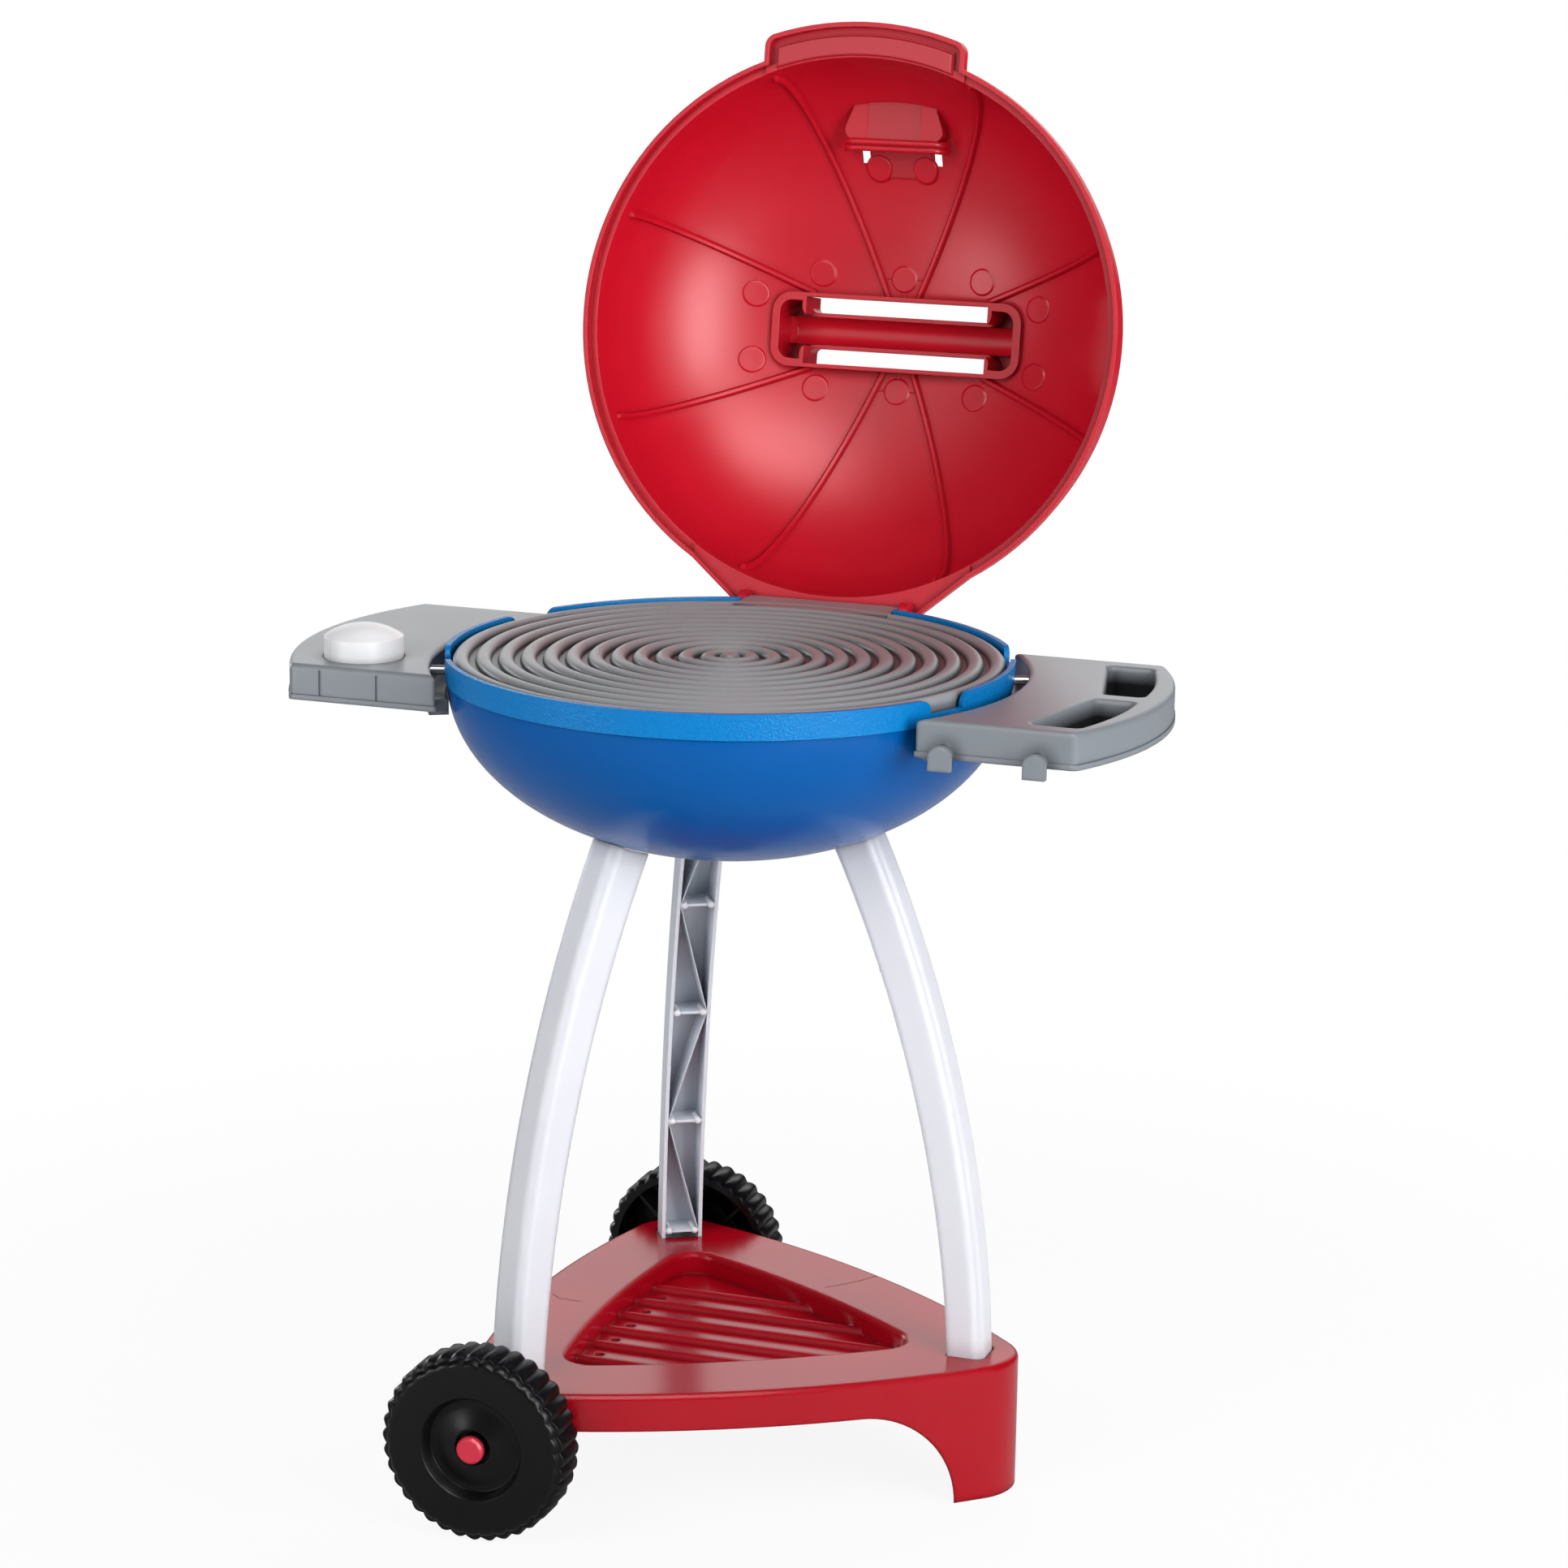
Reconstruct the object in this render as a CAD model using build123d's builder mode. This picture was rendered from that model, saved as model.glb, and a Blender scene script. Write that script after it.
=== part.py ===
from build123d import *
from math import atan, cos, pi, radians, sin, sqrt, tan
import os

os.makedirs("parts", exist_ok=True)

# Toy barbecue grill on a three-legged trolley, standing with its lid open against its stop.
# Millimetres. +X runs to the push-handle shelf, +Y to the lid's hinge, +Z up, floor at z = 0.
# Every piece is drawn about the bowl's upright axis, the lid in its closed place. The lid is then
# opened about its hinge, and the whole grill is set forward by axis_setback, which puts the frame's
# origin on the floor under the middle of the open grill.

axis_setback = 78.27

# Shared clearances
overrun = 4.0
seat_gap = 0.3
running_gap = 0.05
fit_gap = 0.02

# Bowl
bowl_radius = 181.5
bowl_wall = 3.0
bowl_depth = 128.0
bowl_flat = 12.0
rim_top = 536.0
band_height = 16.5
band_step = 1.2
band_draft = 1.0
ledge_width = 5.5
ledge_height = 5.0
notch_angle = 23.0
notch_width = 30.0
notch_depth = 9.5
notch_corner = 8.0
notch_angles = (notch_angle, 180 - notch_angle, 180 + notch_angle, -notch_angle)

# Grate
grate_gap = 3.0
grate_sink = 1.0
grate_height = 24.0
grate_wall = 2.5
grate_plate = 3.0
ring_count = 12
ring_width = 10.4
ring_rise = 5.0
boss_radius = 5.0
grate_rib = 2.0
grate_rib_depth = 8.0
grate_rib_count = 8

# Hinge
hinge_drop = 6.0
hinge_gap = 6.5
barrel_radius = 4.5
tab_half = 53.5
tab_height = 8.5
rod_radius = 2.4
ear_gap = 0.5
ear_thickness = 6.0
ear_radius = 7.5
open_turn = 99.5

# Lid
lid_overhang = 6.9
lid_wall = 2.8
lid_bead = 3.0
lid_groove_width = 4.9
lid_rim_height = 8.5
lid_rim_plate = 2.5
lid_face = 4.0
lid_foot = 26.9
lid_rise = 105.3
lid_rib_rise = 3.0
lid_rib_width = 2.0
lid_rib_count = 8
lid_rib_foot = 22.0
lip_reach = 15.4
lip_half = 70.0
lip_corner = 9.0
lip_edge = 3.2
lip_groove_width = 4.6
flap_root_half = 98.0
flap_shoulder_half = 66.0
flap_half = 60.0
flap_reach = 8.0
flap_edge = 2.5
flap_corner = 5.0

# Handle moulded into the crown of the lid
handle_length = 181.0
handle_width = 52.0
handle_corner = 14.0
handle_wall = 2.8
handle_sink = 20.2
handle_rise = 16.0
handle_end = 24.5
bar_width = 25.0
bar_depth = 20.5
handle_round = 5.0
slot_corner = 4.0

# Vent pocket in the front of the lid
pocket_inset = 30.4
pocket_height = 27.0
pocket_top_half = 28.0
pocket_foot_half = 38.0
pocket_face = 77.5
pocket_corner = 7.0
window_width = 6.0
window_length = 10.0
window_spread = 26.0
window_gap = 9.0

# Side shelves
shelf_drop = 8.0
shelf_skirt = 23.0
shelf_plate = 3.0
shelf_wall = 2.5
shelf_gap = 8.5
shelf_half_depth = 106.0
shelf_span = 94.0
shelf_bulge = 27.0
shelf_corner = 5.0
shelf_round = 3.0
shelf_lip_height = 3.5
shelf_lip = 0.6
shelf_rib = 2.0
shelf_rib_depth = 12.0
shelf_rib_y = 40.0
tongue_height = 10.0
tongue_drop = 17.0
tongue_width = 12.5
tongue_angle = 31.0
pin_radius = 3.0
pin_angle = 18.0
pin_drop = 7.0
pin_length = 23.0
pin_boss_radius = 6.0
pin_boss_length = 12.0

# Hand holds in the push-handle shelf, their reach in shares of the shelf's span
grip_inner_shares = (0.564, 0.362)
grip_outer_shares = (0.830, 0.798, 0.681)
grip_near_y = 8.5
grip_middle_y = 49.0
grip_far_y = 90.0
grip_corner = 4.0
grip_round = 3.0

# Tool hooks on the push-handle shelf
hook_shares = (0.184, 0.778)
hook_radius = 5.5
hook_drop = 19.5
hook_stand = 8.0
hook_plate_width = 14.0
hook_plate_drop = 8.5
hook_plate = 5.0

# Knob
knob_share = 0.362
knob_y = -66.0
knob_radius = 25.4
knob_side = 14.0
knob_height = 22.0
knob_wall = 2.5
pointer_angle = 234.0
pointer_width = 3.5
pointer_rise = 0.5
well_gap = 1.0
well_depth = 1.0
stem_radius = 5.0
stem_boss_wall = 3.0
stem_boss_length = 8.0
washer_radius = 9.0
washer_thickness = 1.5
knob_screw_radius = 1.5
knob_screw_length = 14.0
knob_head_radius = 4.0
knob_head_height = 2.5
face_groove_shares = (0.402, 0.795)
face_groove_width = 1.4
face_groove_depth = 0.6

# Legs
leg_names = ("leg_right", "leg_rear", "leg_front")
leg_width = 28.0
leg_wall = 2.5
leg_round = 7.0
leg_top_rise = 32.0
leg_sink = 21.0
leg_middle_share = 0.5376
leg_top_share = 0.5333
leg_top_depth = 30.3
leg_foot_inset = 32.7
leg_foot_depth = 23.4
leg_outer_bulge = 20.6
leg_inner_bulge = 21.4
web_top_drop = 99.5
web_foot_rise = 25.6
web_below = 3
web_thickness = 2.0
leg_boss_radius = 5.5
leg_boss_inset = 2.8
leg_boss_drop = 12.0
leg_screw_radius = 2.0
leg_screw_length = 34.0
screw_head_radius = 4.5
screw_head_height = 3.0
screw_seat_rise = 26.0
foot_screw_drop = 11.0
foot_screw_length = 22.0

# Trolley base
base_top = 89.0
base_skirt = 24.0
base_wall = 3.0
base_corner_reach = 216.0
base_side_reach = 136.0
base_corner = 36.0
base_round = 4.0
foot_run = 42.0
arch_run = 50.0
tray_corner_margin = 80.0
tray_side_margin = 58.0
tray_corner = 18.0
tray_depth = 15.0
tray_round = 4.0
bar_count = 6
bar_pitch = 28.3
bar_radius = 4.0
drain_count = 5
drain_radius = 3.0
drain_inset = 14.0
socket_gap = 0.4
socket_lean = 0.8
socket_wall = 2.5

# Wheels and axle pins
axle_advance = 18.0
wheel_radius = 62.0
wheel_inset = 36.5
wheel_width = 31.5
lobe_count = 36
lobe_depth = 2.6
shoulder_width = 4.0
shoulder_drop = 3.5
rim_thickness = 9.0
wheel_web = 3.0
dish_radius = 34.0
dish_foot_radius = 29.0
dish_depth = 8.0
hub_radius = 12.0
hub_sink = 1.5
wheel_rib_count = 8
wheel_rib = 2.4
wheel_rib_inset = 2.0
axle_radius = 5.0
axle_head_radius = 8.8
axle_head_height = 4.5
axle_head_dome = 1.5
housing_radius = 11.0
housing_web = 12.0
housing_length = 58.0
housing_gap = 0.6
barb_height = 0.8
barb_length = 5.0
barb_slot = 2.4
barb_slot_length = 16.0

# Sizes that follow from the ones above
band_foot = rim_top - band_height
body_radius = bowl_radius - band_draft - band_step
body_depth = bowl_depth - band_height
grate_radius = bowl_radius - bowl_wall - grate_gap
grate_top = rim_top - grate_sink
ledge_top = grate_top - grate_height
tab_root = sqrt(grate_radius ** 2 - tab_half ** 2) - ring_width
bowl_lowest = rim_top - bowl_depth
hinge_height = rim_top - hinge_drop
hinge_reach = bowl_radius + hinge_gap
lid_radius = bowl_radius + lid_overhang
lid_seat = rim_top + seat_gap - lid_face
lid_inner = lid_radius - lid_bead - lid_groove_width
lid_foot_height = lid_seat + lid_foot
groove_roof = lid_seat + lid_rim_height - lid_rim_plate
handle_rim = lid_foot_height + lid_rise - handle_sink
handle_top = lid_foot_height + lid_rise + handle_rise
slot_half = handle_length / 2 - handle_end
pocket_far = lid_radius - pocket_inset
pocket_near = pocket_far - pocket_height
window_reach = pocket_near - window_gap
shelf_top = rim_top - shelf_drop
shelf_inner = bowl_radius + shelf_gap
shelf_reach = shelf_inner + shelf_span
shelf_corner_x = shelf_reach - shelf_bulge
shelf_front_x = sqrt(shelf_inner ** 2 - shelf_half_depth ** 2)
shelf_foot = shelf_top - shelf_skirt
pin_height = shelf_top - pin_drop
pin_inner = bowl_radius - bowl_wall - seat_gap
skirt_foot = base_top - base_skirt
knob_x = -shelf_inner - knob_share * shelf_span
knob_foot = shelf_top - well_depth + seat_gap
stem_foot = shelf_top - shelf_plate - stem_boss_length - seat_gap
leg_count = len(leg_names)
leg_turns = [360 * number / leg_count for number in range(leg_count)]
leg_top_height = bowl_lowest + leg_top_rise
leg_foot_height = base_top - leg_sink
leg_middle_height = leg_top_height - leg_middle_share * (leg_top_height - leg_foot_height)
leg_top_reach = leg_top_share * bowl_radius
leg_foot_reach = base_corner_reach - leg_foot_inset
leg_middle_reach = leg_top_reach + leg_middle_share * (leg_foot_reach - leg_top_reach)
leg_middle_depth = leg_top_depth + leg_middle_share * (leg_foot_depth - leg_top_depth)
leg_outer_radii = (leg_top_reach, leg_middle_reach + leg_outer_bulge, leg_foot_reach)
leg_inner_radii = (leg_top_reach - leg_top_depth,
                   leg_middle_reach - leg_middle_depth + leg_inner_bulge,
                   leg_foot_reach - leg_foot_depth)
leg_boss_reach = leg_top_reach - leg_boss_inset
leg_boss_height = bowl_lowest - leg_boss_drop
screw_seat_height = bowl_lowest + screw_seat_rise
foot_screw_height = base_top - foot_screw_drop
web_top_height = leg_top_height - web_top_drop
web_pitch = (web_top_height - leg_foot_height - web_foot_rise) / web_below
socket_inner = leg_inner_radii[-1] - socket_lean - socket_gap
socket_outer = leg_outer_radii[-1] + socket_gap
foot_inner = base_corner_reach - foot_run
tray_corner_reach = base_corner_reach - tray_corner_margin
tray_side_reach = base_side_reach - tray_side_margin
drain_x = drain_inset - tray_side_reach
axle_x = axle_advance - base_corner_reach / 2
wheel_inner = base_corner_reach - wheel_inset
wheel_outer = wheel_inner + wheel_width
head_seat = wheel_outer - hub_sink
housing_end = wheel_inner - housing_gap
housing_start = housing_end - housing_length


def upright(angle):
    """The upright plane through the bowl's axis at an angle: x outwards, y up."""
    turn = radians(angle)
    return Plane(origin=(0, 0, 0), x_dir=(cos(turn), sin(turn), 0), z_dir=(sin(turn), -cos(turn), 0))


def facing(angle, reach, height=0):
    """The plane that faces outwards at an angle and a distance from the axis: x sideways, y up."""
    turn = radians(angle)
    place = (reach * cos(turn), reach * sin(turn), height)
    return Plane(origin=place, x_dir=(-sin(turn), cos(turn), 0), z_dir=(cos(turn), sin(turn), 0))


def bowl_section(radius, depth, foot, top, top_radius):
    """Half of the bowl's section: a quarter ellipse with a flat foot, and a wall above it."""
    flat_rise = depth * (1 - sqrt(1 - (bowl_flat / radius) ** 2))
    with BuildSketch() as section:
        with BuildLine():
            EllipticalCenterArc((0, foot), radius, depth, start_angle=-90, arc_size=90)
            Polyline((radius, foot), (top_radius, top), (0, top), (0, foot - depth))
        make_face()
        with Locations((0, foot - depth)):
            Rectangle(bowl_flat, flat_rise, align=(Align.MIN, Align.MIN), mode=Mode.SUBTRACT)
    return section.sketch


def dome_section(radius, rise, foot, bottom):
    """Half of the lid's section: a wall up to the foot height, a quarter ellipse above it."""
    with BuildSketch() as section:
        with BuildLine():
            EllipticalCenterArc((0, foot), radius, rise, start_angle=0, arc_size=90)
            Polyline((0, foot + rise), (0, bottom), (radius, bottom), (radius, foot))
        make_face()
    return section.sketch


def bulged_triangle(corner_reach, side_reach, corner, inset=0):
    """A three-cornered outline with bulging sides and rounded corners, drawn in by an inset."""
    bulge_turn = 2 * atan((side_reach - corner_reach / 2) / (corner_reach * sqrt(3) / 2))
    corner_reach -= inset / sin(radians(30) + bulge_turn)
    side_reach -= inset
    with BuildSketch() as outline:
        with BuildLine():
            for start in (0, 120, 240):
                points = []
                for turn, reach in ((0, corner_reach), (60, side_reach), (120, corner_reach)):
                    angle = radians(start + turn)
                    points.append((reach * cos(angle), reach * sin(angle)))
                ThreePointArc(*points)
        make_face()
        fillet(outline.vertices(), corner - inset)
    return outline.sketch


def lip_outline(inset):
    """The lid's front lip in plan, drawn in by an inset."""
    with BuildSketch() as outline:
        Circle(lid_radius + lip_reach - inset)
        Rectangle(2 * (lip_half - inset), 2 * lid_radius, align=(Align.CENTER, Align.MAX),
                  mode=Mode.INTERSECT)
        fillet(outline.vertices().sort_by(Axis.Y)[:2], lip_corner - inset)
    return outline.sketch


def flap_outline(inset):
    """The lid's hinge flap in plan, drawn in by an inset."""
    root_y = sqrt(lid_radius ** 2 - flap_root_half ** 2)
    with BuildSketch() as outline:
        with BuildLine():
            Polyline((-flap_root_half, 0), (-flap_root_half, root_y),
                     (-flap_shoulder_half, hinge_reach), (-flap_half, hinge_reach + flap_reach),
                     (flap_half, hinge_reach + flap_reach), (flap_shoulder_half, hinge_reach),
                     (flap_root_half, root_y), (flap_root_half, 0), close=True)
        make_face()
        fillet(outline.vertices().sort_by(Axis.Y)[-2:], flap_corner)
        offset(amount=-inset, kind=Kind.INTERSECTION, mode=Mode.REPLACE)
    return outline.sketch


def pocket_outline(inset):
    """The lid's vent pocket in plan, drawn in by an inset."""
    with BuildSketch() as outline:
        with BuildLine():
            Polyline((-pocket_top_half, -pocket_far), (-pocket_foot_half, -pocket_near),
                     (pocket_foot_half, -pocket_near), (pocket_top_half, -pocket_far), close=True)
        make_face()
        fillet(outline.vertices(), pocket_corner)
        offset(amount=-inset, mode=Mode.REPLACE)
    return outline.sketch


def shelf_outline(inset, side):
    """A side shelf in plan, drawn in by an inset; side is 1 on the right and -1 on the left."""
    inner = shelf_inner + inset
    half = shelf_half_depth - inset
    corner_x = shelf_corner_x - inset
    inner_x = sqrt(inner ** 2 - half ** 2)
    with BuildSketch() as outline:
        with BuildLine():
            Line((inner_x, -half), (corner_x, -half))
            ThreePointArc((corner_x, -half), (shelf_reach - inset, 0), (corner_x, half))
            Line((corner_x, half), (inner_x, half))
            ThreePointArc((inner_x, half), (inner, 0), (inner_x, -half))
        make_face()
        fillet(outline.vertices().sort_by(Axis.X)[-2:], shelf_corner - inset)
        if side < 0:
            mirror(about=Plane.YZ, mode=Mode.REPLACE)
    return outline.sketch


def grip_outlines(swell):
    """The two hand holds of the push-handle shelf in plan, swollen by an amount."""
    inner_near, inner_far = (shelf_inner + share * shelf_span for share in grip_inner_shares)
    outer_near, outer_middle, outer_far = (shelf_inner + share * shelf_span
                                           for share in grip_outer_shares)
    with BuildSketch() as outline:
        with BuildLine():
            Polyline((outer_near, grip_near_y), (inner_near, grip_near_y),
                     (inner_far, grip_far_y), (outer_far, grip_far_y))
            ThreePointArc((outer_far, grip_far_y), (outer_middle, grip_middle_y),
                          (outer_near, grip_near_y))
        make_face()
        fillet(outline.vertices(), grip_corner)
        offset(amount=swell, mode=Mode.REPLACE)
        mirror(about=Plane.XZ)
    return outline.sketch


def leg_outline(wall, reach):
    """A leg from the side: its outer arc drawn in by a wall, its inner arc set out by a reach."""
    heights = (leg_top_height, leg_middle_height, leg_foot_height)
    outer = [(radius - wall, height) for radius, height in zip(leg_outer_radii, heights)]
    inner = [(radius - reach, height) for radius, height in zip(leg_inner_radii, heights)]
    with BuildSketch() as outline:
        with BuildLine():
            ThreePointArc(*outer)
            Line(outer[-1], inner[-1])
            ThreePointArc(*reversed(inner))
            Line(inner[0], outer[0])
        make_face()
    return outline.sketch


# The space inside the bowl, left solid where the leg screws have their seats
with BuildPart() as bowl_space:
    with BuildSketch(Plane.XZ):
        add(bowl_section(body_radius - bowl_wall, body_depth - bowl_wall, band_foot,
                         rim_top + overrun, bowl_radius - bowl_wall))
    revolve(axis=Axis.Z)
    with BuildSketch(Plane.XY.offset(rim_top - bowl_depth)):
        with PolarLocations(leg_boss_reach, leg_count):
            Circle(leg_boss_radius + bowl_wall)
    extrude(amount=screw_seat_height - rim_top + bowl_depth, mode=Mode.SUBTRACT)

# The bowl: an elliptical shell with a stepped, drafted band round its rim
with BuildPart() as bowl:
    with BuildSketch(Plane.XZ):
        add(bowl_section(body_radius, body_depth, band_foot, rim_top, body_radius))
    revolve(axis=Axis.Z)
    with BuildSketch(Plane.XZ):
        with BuildLine():
            Polyline((0, band_foot), (body_radius + band_step, band_foot),
                     (bowl_radius, rim_top), (0, rim_top), close=True)
        make_face()
    revolve(axis=Axis.Z)
    add(bowl_space.part, mode=Mode.SUBTRACT)
    # a ledge inside carries the grate
    ledge_inner = grate_radius - ledge_width
    with BuildSketch(Plane.XZ):
        with BuildLine():
            Polyline((ledge_inner, ledge_top), (body_radius - bowl_wall, ledge_top),
                     (body_radius - bowl_wall, ledge_top - ledge_height),
                     (ledge_inner + bowl_wall, ledge_top - ledge_height), close=True)
        make_face()
    revolve(axis=Axis.Z)
    # four round-shouldered notches in the rim
    for angle in notch_angles:
        with BuildSketch(facing(angle, ledge_inner)):
            with BuildLine():
                left = JernArc((-notch_width / 2 - notch_corner, rim_top), (1, 0), notch_corner, -90)
                right = JernArc((notch_width / 2, rim_top - notch_corner), (0, 1), notch_corner, -90)
                Polyline(left @ 1, (-notch_width / 2, rim_top - notch_depth),
                         (notch_width / 2, rim_top - notch_depth), right @ 0)
                Polyline(right @ 1, (notch_width / 2 + notch_corner, rim_top + overrun),
                         (-notch_width / 2 - notch_corner, rim_top + overrun), left @ 0)
            make_face()
        extrude(amount=bowl_radius, mode=Mode.SUBTRACT)
    # a gap at the back for the grate's hinge tab
    with BuildSketch(facing(90, tab_root)):
        with Locations((0, hinge_height + barrel_radius - tab_height - ear_gap)):
            Rectangle(2 * (tab_half + ear_gap), band_height, align=(Align.CENTER, Align.MIN))
    extrude(amount=bowl_radius, mode=Mode.SUBTRACT)
    # holes for the leg screws
    with BuildSketch(Plane.XY.offset(rim_top - bowl_depth)):
        with PolarLocations(leg_boss_reach, leg_count):
            Circle(leg_screw_radius + fit_gap)
    extrude(amount=bowl_depth / 2, mode=Mode.SUBTRACT)
    # holes for the shelves' steel pins
    for side in (0, 180):
        for turn in (-pin_angle, pin_angle):
            with BuildSketch(facing(side + turn, grate_radius, pin_height)):
                Circle(pin_radius + fit_gap)
            extrude(amount=bowl_radius - grate_radius + overrun, mode=Mode.SUBTRACT)
bowl.part.label = "bowl"

# The grate: half-round rings, stiffening ribs beneath, and a tab with the hinge barrel behind
ring_pitch = (grate_radius - ring_width / 2) / ring_count
groove_height = grate_top - ring_rise
with BuildPart() as grate:
    with BuildSketch(Plane.XZ):
        with BuildLine():
            end = Line((0, grate_top), (boss_radius, grate_top))
            for ring in range(1, ring_count + 1):
                middle = ring * ring_pitch
                Line(end @ 1, (middle - ring_width / 2, groove_height))
                end = ThreePointArc((middle - ring_width / 2, groove_height), (middle, grate_top),
                                    (middle + ring_width / 2, groove_height))
            Polyline(end @ 1, (grate_radius, ledge_top), (grate_radius - grate_wall, ledge_top),
                     (grate_radius - grate_wall, groove_height - grate_plate),
                     (0, groove_height - grate_plate), (0, grate_top))
        make_face()
    revolve(axis=Axis.Z)
    with BuildSketch(Plane.XY.offset(groove_height - grate_plate - grate_rib_depth)):
        with PolarLocations(0, grate_rib_count // 2, angular_range=180):
            Rectangle(2 * grate_radius - grate_wall, grate_rib)
    extrude(amount=grate_rib_depth + grate_plate / 2)
    with BuildSketch(Plane.XY.offset(hinge_height + barrel_radius - tab_height)):
        with Locations((0, tab_root)):
            Rectangle(2 * tab_half, hinge_reach - tab_root, align=(Align.CENTER, Align.MIN))
    extrude(amount=tab_height)
    with BuildSketch(Plane.YZ):
        with Locations((hinge_reach, hinge_height)):
            Circle(barrel_radius)
    extrude(amount=tab_half, both=True)
    with BuildSketch(Plane.YZ):
        with Locations((hinge_reach, hinge_height)):
            Circle(rod_radius + fit_gap)
    extrude(amount=tab_half + overrun, both=True, mode=Mode.SUBTRACT)
grate.part.label = "grate"

with BuildPart() as hinge_rod:
    with BuildSketch(Plane.YZ):
        with Locations((hinge_reach, hinge_height)):
            Circle(rod_radius)
    extrude(amount=tab_half + ear_gap + ear_thickness, both=True)
hinge_rod.part.label = "hinge_rod"

# The lid's outlines in plan, and the space inside its dome round the handle's rim
lip_plan = lip_outline(0)
lip_ring = lip_plan - lip_outline(lip_edge)
lip_channel = lip_outline(lip_edge) - lip_outline(lip_edge + lip_groove_width)
flap_plan = flap_outline(0)
flap_ring = flap_plan - flap_outline(flap_edge)
with BuildPart() as dome_space:
    with BuildSketch(Plane.XZ):
        add(dome_section(lid_inner, lid_rise - lid_wall, lid_foot_height, lid_seat - overrun))
    revolve(axis=Axis.Z)
    with BuildSketch(Plane.XY.offset(handle_rim)):
        RectangleRounded(handle_length, handle_width, handle_corner)
    extrude(amount=handle_top - handle_rim, mode=Mode.SUBTRACT)
    with BuildSketch(Plane.XY.offset(lid_seat + pocket_face)):
        add(pocket_outline(0))
    extrude(amount=lid_rise, mode=Mode.SUBTRACT)

# The lid, drawn closed: dome and beaded rim, front lip, hinge flap, ribs, handle and vent pocket
with BuildPart() as lid:
    with BuildSketch(Plane.XZ):
        add(dome_section(lid_inner + lid_wall, lid_rise, lid_foot_height, groove_roof))
    revolve(axis=Axis.Z)
    with BuildSketch(Plane.XZ):
        with BuildLine():
            Polyline((0, groove_roof), (lid_radius - lid_bead, groove_roof),
                     (lid_radius - lid_bead, lid_seat), (lid_radius, lid_seat),
                     (lid_radius, lid_seat + lid_rim_height), (0, lid_seat + lid_rim_height),
                     close=True)
        make_face()
    revolve(axis=Axis.Z)
    # lip and flap: a plate with a flat face beneath, an edge turned down round it
    with BuildSketch(Plane.XY.offset(lid_seat + lid_face)):
        add(lip_plan)
        add(flap_plan)
    extrude(amount=lid_rim_height - lid_face)
    with BuildSketch(Plane.XY.offset(lid_seat - overrun)):
        add(lip_outline(lip_edge))
        add(flap_outline(flap_edge))
    extrude(amount=overrun + lid_face, mode=Mode.SUBTRACT)
    with BuildSketch(Plane.XY.offset(lid_seat)):
        add(lip_ring)
        add(flap_ring)
        Circle(lid_radius - lid_bead, mode=Mode.SUBTRACT)
    extrude(amount=lid_face)
    with BuildSketch(Plane.XY.offset(lid_seat)):
        add(lip_channel)
        Circle(lid_radius - lid_bead, mode=Mode.SUBTRACT)
    extrude(amount=lid_rim_height - lid_rim_plate, mode=Mode.SUBTRACT)
    add(dome_space.part, mode=Mode.SUBTRACT)
    # hinge ears
    for side in (-1, 1):
        with BuildSketch(Plane.YZ.offset(side * (tab_half + ear_gap))):
            with Locations((hinge_reach, hinge_height)):
                Circle(ear_radius)
                Rectangle(2 * ear_radius, lid_seat + lid_rim_height - hinge_height - lid_rim_plate,
                          align=(Align.CENTER, Align.MIN))
                Circle(rod_radius + running_gap, mode=Mode.SUBTRACT)
        extrude(amount=side * ear_thickness)
    # radial ribs inside the dome
    for step in range(lid_rib_count):
        with BuildSketch(upright((step + 1 / 2) * 360 / lid_rib_count)):
            add(dome_section(lid_inner + lid_wall / 2, lid_rise - lid_wall / 2, lid_foot_height,
                         lid_seat + lid_rib_foot))
            add(dome_section(lid_inner - lid_rib_rise, lid_rise - lid_wall - lid_rib_rise,
                             lid_foot_height, lid_seat), mode=Mode.SUBTRACT)
        extrude(amount=lid_rib_width / 2, both=True)
    # the handle: a well through the crown, end blocks and a bar across it, hollow from inside
    inner_length = handle_length - 2 * handle_wall
    inner_width = handle_width - 2 * handle_wall
    with BuildSketch(Plane.XY.offset(handle_rim - overrun)):
        RectangleRounded(inner_length, inner_width, handle_corner - handle_wall)
    extrude(amount=handle_top, mode=Mode.SUBTRACT)
    with BuildSketch(Plane.XY.offset(handle_rim)) as handle_plan:
        RectangleRounded(inner_length, inner_width, handle_corner - handle_wall)
        for side in (-1, 1):
            with Locations((0, side * handle_width / 2)):
                RectangleRounded(2 * slot_half, handle_width - bar_width, slot_corner,
                                 mode=Mode.SUBTRACT)
    extrude(amount=handle_top - handle_rim)
    fillet(lid.faces().sort_by(Axis.Z)[-1].edges(), handle_round)
    with BuildSketch(Plane.XY.offset(handle_rim - overrun)):
        add(handle_plan.sketch_local)
        offset(amount=-handle_wall, mode=Mode.REPLACE)
    extrude(amount=handle_top - handle_wall - handle_rim + overrun, mode=Mode.SUBTRACT)
    with BuildSketch(Plane.XY.offset(handle_rim - overrun)):
        Rectangle(2 * slot_half, inner_width)
    extrude(amount=handle_top - bar_depth - handle_rim + overrun, mode=Mode.SUBTRACT)
    # the vent pocket's hollow, open to the outside, and two windows above it
    with BuildSketch(Plane.XY.offset(lid_seat + pocket_face + lid_wall)):
        add(pocket_outline(lid_wall))
    extrude(amount=lid_rise, mode=Mode.SUBTRACT)
    with BuildSketch(Plane.XY.offset(lid_seat + pocket_face)):
        for side in (-1, 1):
            with Locations((side * window_spread, -window_reach)):
                Rectangle(window_width, window_length)
    extrude(amount=lid_rise, mode=Mode.SUBTRACT)
lid.part.label = "lid"

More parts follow.
